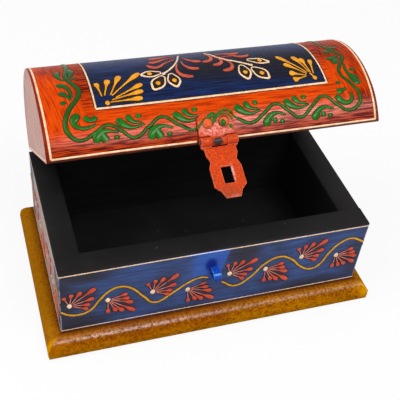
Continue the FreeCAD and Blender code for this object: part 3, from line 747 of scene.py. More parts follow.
def shape(piece, kind, **settings):
    """Add one modifier, set it and apply it."""
    pick(piece)
    modifier = piece.modifiers.new(kind.lower(), kind)
    for name, value in settings.items():
        setattr(modifier, name, value)
    bpy.ops.object.modifier_apply(modifier=modifier.name)


def smooth(piece, degrees=crease):
    """Smooth shading across gentle edges only."""
    pick(piece)
    bpy.ops.object.shade_smooth_by_angle(angle=math.radians(degrees))


def block(name, low, high):
    """A sawn block between two corners: a cube added at its place and drawn out to its size."""
    bpy.ops.object.select_all(action="DESELECT")
    bpy.ops.mesh.primitive_cube_add(size=1, location=(low + high) / 2)
    piece = bpy.context.object
    piece.name = name
    piece.scale = high - low
    settle(piece)
    return piece


def choose(piece, edges=None, faces=None):
    """Enter edit mode with only the chosen edges, by their two ends, or faces, by their normal."""
    pick(piece)
    bpy.context.tool_settings.mesh_select_mode = (False, edges is not None, faces is not None)
    bpy.ops.object.mode_set(mode="EDIT")
    bpy.ops.mesh.select_all(action="DESELECT")
    bpy.ops.object.mode_set(mode="OBJECT")
    points = piece.data.vertices
    if edges:
        for edge in piece.data.edges:
            edge.select = edges(points[edge.vertices[0]].co, points[edge.vertices[1]].co)
    if faces:
        for face in piece.data.polygons:
            face.select = faces(face.normal)
    bpy.ops.object.mode_set(mode="EDIT")


def round_edges(piece, edges, width, segments):
    """Round the chosen edges over, as with a plane and sandpaper."""
    choose(piece, edges=edges)
    bpy.ops.mesh.bevel(offset=width, segments=segments, affect="EDGES")
    bpy.ops.object.mode_set(mode="OBJECT")


def divide_faces(piece, faces, cuts):
    """Cut the chosen faces into a fine grid."""
    choose(piece, faces=faces)
    bpy.ops.mesh.subdivide(number_cuts=cuts)
    bpy.ops.object.mode_set(mode="OBJECT")


def eased_copy(node, ease):
    """A copy of a frame node with its edges eased a little, as filed or thickly painted metal has."""
    piece = on_bench(node + "_worked", nodes[node].data.copy())
    bpy.ops.mesh.customdata_custom_splitnormals_clear()
    bpy.ops.object.mode_set(mode="EDIT")
    bpy.ops.mesh.select_all(action="SELECT")
    bpy.ops.mesh.remove_doubles(threshold=weld_gap)
    bpy.ops.mesh.dissolve_limited(angle_limit=math.radians(flat_turn))
    bpy.ops.object.mode_set(mode="OBJECT")
    shape(piece, "BEVEL", width=ease, segments=2, limit_method="ANGLE", angle_limit=math.radians(crease))
    smooth(piece)
    return piece


def hand_in(piece, body, slot, *replaced):
    """Let a finished piece ride on its body and stand for the nodes it replaces, which are hidden. The slot
    is not used.
    """
    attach(piece, body)
    if replaced:
        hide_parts(*replaced)


# %% [markdown]
# ## Walls
#
# The four walls are thick boards: a long one in front and behind, and two short ones butted between them.
# Painted edges are never sharp, so the rim and the outer corners are rounded over. The outer faces are
# cut into a grid that can carry the wash around the flowers. The short walls reach over the long ones'
# rounded edge, where paint fills the real seam. The flowers come first, as plain positions, because the
# walls need them. A fan is the place of its eye, the angle and reach of each petal, and how far the whole
# fan leans.

# %% Where the flowers of each wall are
fan_above = ((112, 8.6), (82, 9.8), (58, 12.4), (38, 18.6), (14, 14.2), (-7, 11.5), (-26, 11.4))
fan_below = ((-89, 11.2), (-66, 11.8), (-53, 15.0), (-40, 20.6), (-21, 15.6), (-6, 12.5), (14, 11.4))
fan_last = ((-100, 10.6), (-76, 11.0), (-57, 12.4), (-38, 16.4), (-19, 14.6), (-4, 12.4), (16, 11.2))
front_fans = [
    (-86.6, 21.7, fan_above, 0), (-65.1, 21.2, fan_below, 0), (-39.2, 21.4, fan_above, 0),
    (-18.2, 17.9, fan_below, 4), (6.7, 25.2, fan_above, -9), (29.4, 23.8, fan_below, 0),
    (51.6, 28.9, fan_above, 0), (75.1, 24.9, fan_last, 5),
]
front_vine = [
    [(-91.4, 17.6), (-87.5, 14.4), (-82, 13), (-75.5, 14.8), (-69.5, 22.8), (-63.5, 29.2), (-57.5, 30.7),
     (-51.5, 27.6), (-44.5, 18.8), (-37.5, 11.7), (-27, 17.6), (-18.5, 23.7), (-11, 26.4), (-6.5, 25.3)],
    [(2.5, 19.3), (11.5, 13.6), (20, 18.6), (28.5, 28.8), (37, 32.4), (45, 28.5), (53, 19.8), (59.5, 16.5),
     (64.5, 18.4), (70, 28.6), (76, 35.6), (82, 37.8), (91.4, 33)],
]
long_walls = ("front_wall", "back_wall")
side_wave = 46.0
side_start = 1.1
side_crest, side_trough = 30.8, 12.8
corner_sag = 2.0
fan_lead_above, fan_lead_below = 4.6, 7.5
fan_room_above, fan_room_below = 12.0, 8.0
fan_height = 21.4


def side_garland(half):
    """The vine and fans of a short wall: the front's wave carried on round the corner."""
    quarter = side_wave / 4
    middle = (side_crest + side_trough) / 2
    vine, fans = [(half, middle - corner_sag)], []
    place = half - quarter * side_start
    high = True
    while place > -half:
        vine += [(place, side_crest if high else side_trough), (place - quarter, middle)]
        if high and place - fan_lead_below > fan_room_below - half:
            fans.append((place - fan_lead_below, fan_height, fan_below, 0))
        if not high and place - fan_lead_above > fan_room_above - half:
            fans.append((place - fan_lead_above, fan_height, fan_above, 0))
        place -= side_wave / 2
        high = not high
    return [[point for point in vine if point[0] >= -half]], fans


front_low, front_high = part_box("front_wall")
half_length = front_high.x
half_depth = -front_low.y
wall_base, rim_height = front_low.z, front_high.z
side_vine, side_fans = side_garland(half_depth / MM)
garlands = {
    "front_wall": (front_vine, front_fans), "back_wall": (front_vine, front_fans),
    "left_wall": (side_vine, side_fans), "right_wall": (side_vine, side_fans),
}
wall_turn = {"front_wall": 0, "left_wall": -90, "back_wall": 180, "right_wall": 90}
print("fans:", {wall: len(fans) for wall, (_, fans) in garlands.items()})

# %% Saw, round and paint the walls
rim_round = 0.9 * MM
corner_round = 1.1 * MM
round_steps = 3
shortest_rim = 30 * MM
wall_grid = 40
square_to, turned_out, turned_sideways = 0.99, 0.3, 0.7
paint_near = 0.05 * MM
wash_reach = 11.5
flower_wash, wash_gain = 0.9, 1.15
front_washes = (
    (-94, 24, 17, 34, 0.95), (-80, 45, 28, 10, 0.95), (-84, 5, 30, 11, 0.95), (14, 41, 16, 13, 0.95),
    (88, 20, 11, 26, 0.8), (62, 2, 42, 10, 0.85), (-18, 1, 34, 6, 0.6), (34, 14, 14, 10, 0.6),
)
front_in_mm, base_in_mm = -half_depth / MM, wall_base / MM
wall_blue = blue_walls("blue_wall_paint", front_in_mm, base_in_mm, 0.1)
side_blue = blue_walls("hazy_blue_wall_paint", front_in_mm, base_in_mm, 1.0)


def outward(wall):
    """The direction that a wall faces."""
    return Matrix.Rotation(math.radians(wall_turn[wall]), 3, "Z") @ Vector((0, -1, 0))


def at_corner(a, b):
    """True for the box's four upright outer edges."""
    upright = abs(a.z - b.z) > paint_near and abs(a.x - b.x) + abs(a.y - b.y) < paint_near
    return upright and abs(abs(a.x) - half_length) < paint_near and abs(abs(a.y) - half_depth) < paint_near


def at_rim(a, b):
    """True for the long edges of a wall's top."""
    top = a.z > rim_height - paint_near and b.z > rim_height - paint_near
    return top and (a - b).length > shortest_rim


def fan_middle(flower):
    """Half way along a fan's middle petal."""
    x, y, petals, lean = flower
    turn, reach = petals[len(petals) // 2]
    angle = math.radians(turn + lean)
    return Vector((x + 0.5 * reach * math.cos(angle), y + 0.5 * reach * math.sin(angle)))


def wash_at(wall, point):
    """How strongly the dark wash lies on a point of a wall: most at a flower or in a wiped patch."""
    turned = Matrix.Rotation(math.radians(-wall_turn[wall]), 3, "Z") @ point
    spot = Vector((turned.x, turned.z - wall_base)) / MM
    nearest = min((spot - fan_middle(flower)).length for flower in garlands[wall][1])
    strengths = [flower_wash * (1.0 - (nearest / wash_reach) ** 2)]
    if wall in long_walls:
        for x, z, wide, tall, strength in front_washes:
            away = ((spot.x - x) / wide) ** 2 + ((spot.y - z) / tall) ** 2
            strengths.append(strength * min(1.0, wash_gain * (1.0 - away)))
    return max(0.0, *strengths)


def corner_at(point):
    """1 on the box's upright outer edges, 0 elsewhere."""
    inside_round = 0.9 * corner_round
    return float(abs(point.x) > half_length - inside_round and abs(point.y) > half_depth - inside_round)


def saw_wall(wall):
    """A board with its rim and outer corners rounded over and its outer face cut into a grid."""
    low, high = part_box(wall)
    if wall not in long_walls:
        low.y -= rim_round
        high.y += rim_round
    piece = block(wall + "_painted", low, high)
    facing = outward(wall)
    round_edges(piece, at_rim, rim_round, round_steps)
    if wall in long_walls:
        round_edges(piece, at_corner, corner_round, round_steps)
    divide_faces(piece, lambda normal: normal.dot(facing) > square_to, wall_grid)
    return piece


def paint_wall(wall, piece):
    """Blue outside, black inside and over the rim, with attributes for the wash and the rubbed corners."""
    facing = outward(wall)
    coat(piece, wall_blue if wall in long_walls else side_blue, inside_black)
    for face in piece.data.polygons:
        over_rim = face.center.z > rim_height - rim_round - paint_near
        board_end = wall in long_walls and abs(face.normal.x) > turned_sideways
        shown = face.normal.dot(facing) > turned_out or board_end
        face.material_index = 0 if shown and not over_rim else 1
    wash = piece.data.attributes.new("wash", "FLOAT", "POINT")
    corner = piece.data.attributes.new("corner", "FLOAT", "POINT")
    for vertex, wash_entry, corner_entry in zip(piece.data.vertices, wash.data, corner.data):
        wash_entry.value = wash_at(wall, vertex.co)
        corner_entry.value = corner_at(vertex.co)
    smooth(piece)
    hand_in(piece, "box", "body_blue", wall)


def cut_hinge_seats(piece):
    """Let the two hinge leaves into the back wall's rim."""
    board_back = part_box("back_wall")[1].y
    for leaf in ("hinge_left_body_leaf", "hinge_right_body_leaf"):
        low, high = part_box(leaf)
        in_wall = [point.co.z for point in nodes[leaf].data.vertices if point.co.y < board_back - MM]
        low.z, high.z = min(in_wall), rim_height + MM
        high.y = board_back + MM
        chisel = block("chisel", low, high)
        shape(piece, "BOOLEAN", operation="DIFFERENCE", object=chisel, solver="EXACT")
        bpy.data.objects.remove(chisel)


for wall in wall_turn:
    board = saw_wall(wall)
    if wall == "back_wall":
        cut_hinge_seats(board)
    paint_wall(wall, board)
    print(board.name, len(board.data.polygons), "faces")

# %% [markdown]
# ## Lid
#
# The lid is a thin board bent over two arched ends. It could be modelled round from the start. It is made
# flat here, like the real board, given its rounded edges and its map of the paint while flat, and then
# bent over the arch with a Curve modifier. The same bend carries the raised strokes, so they follow the
# board exactly.

# %% Measure the lid shut
lid_joint = joints["lid_hinge"]
lid_pivot = Vector(lid_joint["pos_m"])
lid_open = -lid_joint["range_deg"][0]
open_lid = Matrix.Translation(lid_pivot) @ Matrix.Rotation(math.radians(-lid_open), 4, "X")
open_lid = open_lid @ Matrix.Translation(-lid_pivot)
shut_lid = open_lid.inverted()
shut_points = [shut_lid @ point.co for point in nodes["lid_arch_panel"].data.vertices]
lid_foot = min(point.z for point in shut_points)
lid_rise = max(point.z for point in shut_points) - lid_foot
lid_half_length = max(point.x for point in shut_points)
lid_half_depth = max(point.y for point in shut_points)
print("lid", round(lid_half_length / MM, 2), round(lid_half_depth / MM, 2), round(lid_rise / MM, 2), "mm")

# %% The arch as a path
paste_room = 0.5 * MM
foot_lift = 0.15 * MM
skirt = 2.0 * MM
shoulder_turn = math.radians(30)
panel_thickness = 5.0 * MM
arc_steps = 40


def arch_radii():
    """Shoulder and crown radius of an arch that leaves its skirt upright and meets at the crown."""
    rise = lid_rise - skirt
    crown_half = math.pi / 2 - shoulder_turn
    crown_share = 1 - math.cos(crown_half)
    shoulder_share = 1 - math.cos(shoulder_turn)
    shoulder = rise * math.sin(crown_half) - lid_half_depth * crown_share
    shoulder /= math.sin(shoulder_turn) * math.sin(crown_half) - shoulder_share * crown_share
    crown = (lid_half_depth - shoulder * shoulder_share) / math.sin(crown_half)
    return shoulder, crown


def arch_over(inset):
    """The way over the arch from foot to foot, moved in by inset."""
    crown_half = math.pi / 2 - shoulder_turn
    return 2 * (skirt + (shoulder_radius - inset) * shoulder_turn + (crown_radius - inset) * crown_half)


shoulder_radius, crown_radius = arch_radii()
arch_length = arch_over(0.0)
paste_squeeze = arch_over(paste_room) / arch_length


def arch_outline(inset):
    """Points (y, z above the lid's foot) of the arch from the front foot to the back, moved in by inset."""
    shoulder, crown = shoulder_radius - inset, crown_radius - inset
    shoulder_y = lid_half_depth - shoulder_radius
    crown_z = lid_rise - crown_radius
    half = [(-lid_half_depth + inset, 0.0)]
    for step in range(arc_steps + 1):
        angle = shoulder_turn * step / arc_steps
        half.append((-shoulder_y - shoulder * math.cos(angle), skirt + shoulder * math.sin(angle)))
    for step in range(1, arc_steps + 1):
        angle = shoulder_turn + (math.pi / 2 - shoulder_turn) * step / arc_steps
        half.append((-crown * math.cos(angle), crown_z + crown * math.sin(angle)))
    return half + [(-y, z) for y, z in reversed(half[:-1])]


way_over = [(0, y, z) for y, z in arch_outline(paste_room)]
arch = polyline("arch", way_over, dimensions="3D", twist_mode="Z_UP")
arch_radii_mm = round(shoulder_radius / MM, 2), round(crown_radius / MM, 2)
print("arch length", round(arch_length / MM, 2), "radii", *arch_radii_mm)


# %% Bend a flat piece over the arch and set it on the open lid
def bend_over(piece):
    """Flat x and y become the lid's length and the way over the arch; flat height stands out from it.

    The board lies a hair inside the frame's arch, to leave room for the paste, so its way over is a little
    shorter.
    """
    piece.scale = (1, paste_squeeze, 1)
    settle(piece)
    rotate(piece, z=-90)
    shape(piece, "CURVE", object=arch, deform_axis="POS_X")
    piece.data.transform(open_lid @ Matrix.Translation((0, 0, lid_foot)))
    piece.data.update()


# %% Make the board
board_grid = (46, 96)
board_edge_round = 0.8 * MM
panel_from, panel_to = -63.2, 65.0
panel_start = 25.7

bpy.ops.object.select_all(action="DESELECT")
bpy.ops.mesh.primitive_grid_add(x_subdivisions=board_grid[0], y_subdivisions=board_grid[1], size=1)
lid_board = bpy.context.object
lid_board.name = "lid_board_painted"
lid_board.scale = (2 * lid_half_length, arch_length - 2 * foot_lift, 1)
lid_board.location = (0, arch_length / 2, 0)
settle(lid_board)
lid_ground = painted_lid(lid_half_length / MM, arch_length / MM, panel_from, panel_to, panel_start)
coat(lid_board, lid_ground, inside_black, end_red)
shape(lid_board, "SOLIDIFY", thickness=panel_thickness, offset=-1, material_offset=1, material_offset_rim=0)


def on_outline(a, b):
    """True for the outer face's four edges."""
    outer = a.z > -paint_near and b.z > -paint_near
    ends = all(abs(abs(point.x) - lid_half_length) < paint_near for point in (a, b))
    feet = [min(point.y, arch_length - point.y) - foot_lift < paint_near for point in (a, b)]
    return outer and (ends or all(feet))


round_edges(lid_board, on_outline, board_edge_round, round_steps)
for face in lid_board.data.polygons:
    if abs(face.normal.x) > 0.8:
        face.material_index = 2
bend_over(lid_board)
smooth(lid_board)
hand_in(lid_board, "lid", "lid_orange", "lid_arch_panel")
print("lid board", len(lid_board.data.polygons), "faces")

# %% [markdown]
# The two ends are boards sawn to the arch. A filled flat curve gives the outline, its extrusion the
# thickness. They tuck a hair under the bent board, so no gap shows where paint fills the real seam.

# %% Saw the arched ends
end_tuck = 0.3 * MM
end_recess = 0.05 * MM


def saw_end(node, side):
    """An arched end board, red outside and black inside, set on the open lid."""
    low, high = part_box(node)
    thickness = high.x - low.x
    outline = [(y, z, 0) for y, z in arch_outline(paste_room + panel_thickness - end_tuck)]
    solid = {"dimensions": "2D", "fill_mode": "BOTH", "extrude": thickness / 2}
    piece = polyline(node + "_board", outline, closed=True, **solid)
    bpy.ops.object.convert(target="MESH")
    rotate(piece, x=90, z=90)
    move(piece, (side * (lid_half_length - end_recess - thickness / 2), 0, lid_foot))
    piece.data.transform(open_lid)
    coat(piece, end_red, inside_black)
    for face in piece.data.polygons:
        face.material_index = 0 if face.normal.x * side > 0.9 else 1
    smooth(piece)
    hand_in(piece, "lid", "lid_end_red", node)
    return piece


for node, side in (("lid_left_end", -1), ("lid_right_end", 1)):
    print(saw_end(node, side).name)

# %% [markdown]
# ## Plinth, inside and ironwork
#
# These pieces already have their shape in the frame, so they keep it. The plinth, floor, rails, hinges
# and fixings take their finish. The hasp, rivets and staple are copied with eased edges, because thick
# paint on metal rounds every edge over.

# %% Finish the frame's own pieces
coat(nodes["plinth"], ochre_plinth(half_length / MM, half_depth / MM))
for node in ("floor_panel", "lid_front_rail", "lid_back_rail"):
    coat(nodes[node], inside_black)
for node in nodes:
    if node.startswith("hinge") and node.endswith("leaf"):
        coat(nodes[node], hinge_iron)
    elif node.endswith(("pin", "screws", "nails")):
        coat(nodes[node], pin_iron)
print("pieces of the frame:", len(nodes))

# %% Ease the painted ironwork
metal_ease = 0.25 * MM
for node, body, slot, material in (
    ("hasp_plate", "hasp", "hasp_orange", plate_paint),
    ("hasp_leaf", "lid", "hasp_orange", leaf_paint),
    ("hasp_rivets", "lid", "hasp_orange", rivet_paint),
    ("staple", "box", "staple_blue", staple_paint),
):
    piece = eased_copy(node, metal_ease)
    coat(piece, material)
    hand_in(piece, body, slot, node)
    print(piece.name, len(piece.data.polygons), "faces")

# %% [markdown]
# ## Raised strokes
#
# A stroke is a list of points with the thread's width at each. A Bezier curve with a round bevel draws
# all strokes of one colour on one face, flat on the ground, and is made a mesh. Pressed to a share of its
# height it has the low, rounded back of dried paste. The flat sheet of strokes then goes up against its
# wall or over the lid. On the front wall, the paste under the shut hasp is flattened further, because the
# plate comes down close to the wall.

# %% Draw strokes
stroke_steps = 5
stroke_sides = 2
stroke_crease = 60
stroke_weld = 0.001 * MM


class Loop(list):
    """A stroke that ends where it began."""


def draw(name, strokes, press):
    """One mesh of all these strokes, lying flat, pressed to a share of their height.

    Each point is x, y and the width there, all in millimetres, and the height of its ground where that is
    raised.
    """
    curve = bpy.data.curves.new(name, "CURVE")
    curve.dimensions = "3D"
    curve.bevel_depth = MM
    curve.bevel_resolution = stroke_sides
    curve.resolution_u = stroke_steps
    curve.use_fill_caps = True
    for stroke in strokes:
        line = curve.splines.new("BEZIER")
        line.bezier_points.add(len(stroke) - 1)
        line.use_cyclic_u = isinstance(stroke, Loop)
        line.radius_interpolation = "CARDINAL"
        for knot, (x, y, width, *ground) in zip(line.bezier_points, stroke):
            knot.co = (x * MM, y * MM, sum(ground) * MM / press)
            knot.radius = width / 2
            knot.handle_left_type = knot.handle_right_type = "AUTO"
    on_bench(name, curve)
    bpy.ops.object.convert(target="MESH")
    piece = bpy.context.object
    bpy.ops.object.mode_set(mode="EDIT")
    bpy.ops.mesh.select_all(action="SELECT")
    bpy.ops.mesh.remove_doubles(threshold=stroke_weld)
    bpy.ops.mesh.normals_make_consistent(inside=False)
    bpy.ops.object.mode_set(mode="OBJECT")
    piece.scale = (1, 1, press)
    settle(piece)
    smooth(piece, stroke_crease)
    return piece


# %% Strokes of the cone
fan_root = 2.2
petal_width, petal_growth = 2.1, 0.06
vein_end, vein_middle = 0.5, 0.62
petal_shape = ((0.0, 0.0), (0.42, 0.06), (0.64, 0.4), (0.82, 1.0), (0.94, 0.88), (0.98, 0.6), (1.0, 0.25))
dot_shape = ((-1.0, 0.25), (-0.8, 0.62), (0.0, 1.0), (0.8, 0.62), (1.0, 0.25))


def thread(points, width):
    """A stroke of even width."""
    return [(x, y, width) for x, y in points]


def tapered(points, start, end):
    """A stroke that runs from one width to another."""
    last = len(points) - 1
    return [(x, y, start + (end - start) * step / last) for step, (x, y) in enumerate(points)]


def drop(root, tip, width, tail=0.5):
    """A petal: a fine tail that swells into a rounded drop at its tip."""
    x, y = root
    along_x, along_y = tip[0] - x, tip[1] - y
    swell = width - tail
    return [(x + along_x * far, y + along_y * far, tail + swell * size) for far, size in petal_shape]


def dot(x, y, width, tall=1.0, ground=0.0):
    """A touch of paste: a short fat stroke with rounded ends."""
    half = width * tall / 2
    return [(x, y + half * far, width * size, ground) for far, size in dot_shape]


def outlined(strokes, extra):
    """The same strokes, wider, for a dark rim round them, which in places is painted shade."""
    made = []
    for stroke in strokes:
        made.append(type(stroke)((x, y, width + extra, *ground) for x, y, width, *ground in stroke))
    return made


def fan(x, y, petals, lean):
    """Petals that spread from a dot, each given as its angle and how far its tip reaches."""
    made = []
    for angle, reach in petals:
        way = math.radians(angle + lean)
        root = (x + fan_root * math.cos(way), y + fan_root * math.sin(way))
        tip = (x + reach * math.cos(way), y + reach * math.sin(way))
        made.append(drop(root, tip, petal_width + petal_growth * reach))
    return made


def vein(petal):
    """The pale back of a petal's fine tail."""
    (x, y, *_), (end_x, end_y, *_) = petal[0], petal[2]
    middle = ((x + end_x) / 2, (y + end_y) / 2, vein_middle)
    return [(x, y, vein_end), middle, (end_x, end_y, vein_end)]


# %% Ornament of the walls
wall_lines = ((46.4, 0.75), (1.3, 0.6))
hasp_shuts_over = {"x": (-14.5, 7.7), "above": 15.0}
flattened_share = 0.3
line_stop = 0.3
line_waver = 0.1
wall_vine_width = 1.5
eye_width, eye_tall = 3.0, 1.2


def press_under_hasp(piece):
    """Flatten the paste that the shut hasp lies on, so that it stays below the plate."""
    low_x, high_x = hasp_shuts_over["x"]
    for vertex in piece.data.vertices:
        x, above, _ = vertex.co / MM
        if low_x < x < high_x and above > hasp_shuts_over["above"]:
            vertex.co.z *= flattened_share


for wall, (vines, fans) in garlands.items():
    long = wall in long_walls
    half = (half_length if long else half_depth) / MM - line_stop
    reach = half_depth if long else half_length
    lines = []
    for z, width in wall_lines:
        hand_drawn = [(-half, z), (-half / 3, z + line_waver), (half / 3, z - line_waver), (half, z)]
        lines.append(thread(hand_drawn, width))
    petals = [petal for flower in fans for petal in fan(*flower)]
    eyes = [dot(x, y, eye_width, eye_tall) for x, y, *_ in fans]
    stems = [thread(vine, wall_vine_width) for vine in vines]
    for colour, strokes, press, (plain, hazy) in (
        ("wash", outlined(petals, 1.3) + outlined(stems, 1.0), 0.05, (wash_night, side_wash)),
        ("mustard", stems, 0.5, (paste_mustard, side_mustard)),
        ("red", petals, 0.5, (paste_red, side_red)),
        ("pink", [vein(petal) for petal in petals], 0.75, (paste_pink, side_pink)),
        ("ivory", lines + eyes, 0.5, (paste_ivory, side_ivory)),
    ):
        piece = draw(wall + "_strokes_" + colour, strokes, press)
        if wall == "front_wall" and colour != "wash":
            press_under_hasp(piece)
        rotate(piece, x=90)
        move(piece, (0, -reach, wall_base))
        rotate(piece, z=wall_turn[wall])
        coat(piece, plain if long else hazy)
        hand_in(piece, "box", "body_blue")
        print(piece.name, len(piece.data.polygons), "faces")

# %% [markdown]
# On the lid, a green vine runs round the orange border and throws off leaves. It climbs over the hasp's
# leaf, which was riveted on before the ornament. The blue field has an ivory frame, a yellow fan in each
# corner, and a sprig with seed-leaves and red feathers to each side of the crown. What is drawn in front
# is repeated behind, mirrored over the crown. Points are millimetres along the lid and up from its front
# foot over the arch. Where a stroke lies on the hasp's leaf, a last number gives the height of that
# ground.

# %% The lid's vine
over = arch_length / MM
hasp_leaf_rise = 1.25
strap = hasp_leaf_rise + paste_room / MM
rivet_rise = 1.4
vine_left_of_hasp = [
    (-73.8, 9.6), (-66, 12.6), (-58.7, 15.9), (-52.5, 12.2), (-46.6, 7.8), (-38.5, 12.4), (-30.6, 17.0),
    (-23.5, 12.4), (-16.8, 8.3),
]
vine_on_hasp = [
    (-14.2, 8.4, 0), (-13.2, 8.8, strap), (-11, 11, strap), (-7, 13, strap), (-2, 14.4, strap),
    (2.2, 16.4, strap), (5.8, 15, strap), (7.2, 13.2, 0),
]
vine_right_of_hasp = [
    (9.4, 11.2), (16.7, 8.1), (24.5, 12.4), (32, 16.9), (38.5, 12.2), (44.7, 7.8), (52.5, 13), (60.3, 18.1),
    (67.5, 12.2), (74, 8.5),
]
vine_right = [
    (80.5, 11.4), (82.3, 16.5), (78.7, 24), (74.7, 31.4), (76.8, 37.0), (80.2, 41.2), (81.6, 44.6),
    (80.2, 48.4), (77.2, 53.6), (75.4, 61), (76.0, 71),
]
vine_left = [
    (-79, 13.6), (-79.8, 19), (-76.8, 26.4), (-71.4, 33.4), (-69.5, 38.6), (-71.8, 44.0), (-74.0, 49.2),
    (-74.0, 53.2), (-72.4, 59.4), (-71.6, 71),
]
behind_hasp = [(-8.5, 12.6), (0, 16)]


def behind(points):
    """The same points mirrored over the crown, in the opposite order."""
    return [(x, over - s, *rest) for x, s, *rest in reversed(points)]


def behind_all(strokes):
    """The same strokes mirrored over the crown."""
    return [type(stroke)(behind(stroke)) for stroke in strokes]


def broad(points, width):
    """A line with a width given to every point, before the height of its ground."""
    return [(x, s, width, *ground) for x, s, *ground in points]


front_run = broad(vine_left_of_hasp, 1.4) + broad(vine_on_hasp, 1.3) + broad(vine_right_of_hasp, 1.45)
back_run = behind(broad(vine_left_of_hasp + behind_hasp + vine_right_of_hasp, 1.7))
left_climb, right_climb = broad(vine_left, 2.1), broad(vine_right, 1.6)
right_side = right_climb + behind(right_climb)
left_side = left_climb + behind(left_climb)
vine_loop = Loop(front_run + right_side + back_run + left_side[::-1])
print("vine of", len(vine_loop), "points")

# %% The vine's leaves
leaves = []
for t in (-46.6, -16.9, 16.7, 44.7):
    leaves += [
        [(t - 7.6, 18.4, 1.8), (t - 6.4, 17.2, 3.8), (t - 4.1, 15.0, 3.3), (t + 0.2, 13.2, 1.6),
         (t + 6.4, 14.5, 0.7)],
        [(t - 2.4, 19.8, 1.4), (t - 1.5, 18.8, 3.0), (t + 0.6, 16.3, 1.8), (t + 5.3, 15.4, 0.6)],
        dot(t + 4, 18.9, 2.7),
    ]
for c, up, lobed in ((-58.7, 2.2, True), (-30.6, 0.6, True), (32, 0.0, False), (60.3, 0.0, False)):
    body = 4.4 if lobed else 3.0
    lobe = drop((c - 4.4, 10.2 + up), (c - 2.0, 5.6 + up), 3.6, 3.4)
    leaves += [
        [(c - 7.2, 5.2 + up, 1.8), (c - 6.8, 7.0 + up, 4.2), (c - 5.0, 9.7 + up, body),
         (c - 1.2, 11.8 + up / 2, 1.8), (c + 4.8, 10.4 + up / 2, 0.7)],
        lobe if lobed else dot(c - 1.9, 8.0, 2.5, 1.2),
        dot(c + 2.2 + up / 2, 6.9 + up, 2.5),
    ]
leaves += [
    [(-73.0, 24, 1.8), (-73.9, 22.4, 4.0), (-75.7, 19.2, 3.0), (-73.6, 16.3, 1.9), (-69.4, 15.6, 1.5),
     (-64.6, 16.9, 0.8)],
    [(-70.4, 21.4, 1.4), (-69.2, 20.7, 2.9), (-67.1, 19.3, 1.9), (-65, 20.2, 2.7), (-63.8, 21.3, 1.3)],
    [(-80.0, 44.6, 1.6), (-78.6, 44.0, 3.3), (-76.2, 42.8, 2.7), (-74.4, 39.6, 1.7), (-73.8, 34, 0.8)],
    [(-79.6, 38.3, 1.4), (-78.6, 37.5, 3.1), (-76.4, 36, 2.2), (-74.6, 32.6, 0.9)],
    dot(-78.8, 31.2, 2.7),
    [(-70.7, 60.4, 1.2), (-70.6, 57.6, 3.2), (-71.0, 54.2, 2.6), (-72.9, 49.8, 0.9)],
    [(-72.0, 48.0, 0.8), (-70.5, 49.4, 1.6), (-69.0, 50.2, 1.2)],
    [(-76.7, 58.8, 1.0), (-78.1, 55.6, 3.0), (-77.9, 51.6, 2.2), (-75.6, 47.6, 0.8)],
    [(67.4, 17.5, 1.6), (68.8, 16, 3.7), (71, 13.7, 2.9), (74.4, 12.8, 1.9), (77, 15, 1.7),
     (77.1, 18.4, 1.0)],
    [(69.2, 19, 1.5), (70.5, 19.8, 3.3), (72.6, 20.3, 2.0), (75, 21.4, 1.0)],
    dot(71.4, 25.1, 2.4),
    [(84.8, 23.8, 1.6), (83.4, 24.6, 3.6), (81.4, 26.2, 3.2), (79.4, 29.4, 1.2)],
    [(84.4, 28.2, 1.2), (83.2, 28.2, 2.8), (81.2, 28.7, 2.8), (79.6, 31.2, 1.8), (79.2, 34.8, 1.3),
     (80, 38.4, 0.8)],
    dot(82.9, 33.2, 2.6),
    [(74, 39.2, 1.8), (75, 40.4, 3.5), (76.8, 42.2, 2.3), (79.4, 44.2, 0.9)],
    [(71.8, 44.6, 1.6), (73, 43.9, 3.1), (75.6, 44, 2.1), (78.6, 46, 0.9)],
    [(72, 50.6, 1.5), (73.6, 51, 3.1), (76.4, 50.6, 1.9), (79.6, 49, 0.8)],
    [(82.8, 55, 1.2), (81.2, 54.9, 2.8), (78.8, 55.4, 2.2), (76.9, 57.9, 0.8)],
]
on_hasp = [
    [(-8.2, 12.2, 1.3), (-6.8, 13.6, 2.2), (-4.2, 14.9, 2.0), (-3.2, 15.2, 0.9)],
    [(-5.2, 10, 1.2), (-4.3, 11.4, 2.3), (-2.6, 13.2, 1.4), (1.6, 14.3, 1.1), (4.6, 13.2, 1.1),
     (5.4, 10.6, 1.0)],
]
vine_strokes = [vine_loop] + [[(*point, strap) for point in stroke] for stroke in on_hasp]
vine_strokes += [dot(4.5, 7.7, 2.2, 1.0, strap), dot(0.2, 9.7, 3.4, 1.0, strap + rivet_rise)]
leaves += behind_all(leaves)
print("leaves:", len(leaves))

# %% Lines of the lid
end_line = 89.9
end_lean = 0.7
lean_reach = 40.0
foot_line = 1.8
hasp_gap = (-14.3, 7.4)
line_steps = 16
frame_width = 1.25


def upright_line(x, start, end, width, lean=0.0):
    """A line over the arch, with enough points to follow the bend, leaning in by so much at its feet."""
    rows = [start + (end - start) * step / line_steps for step in range(line_steps + 1)]
    shares = [max(0.0, 1 - min(s, over - s) / lean_reach) for s in rows]
    return thread([(x - lean * share, s) for s, share in zip(rows, shares)], width)


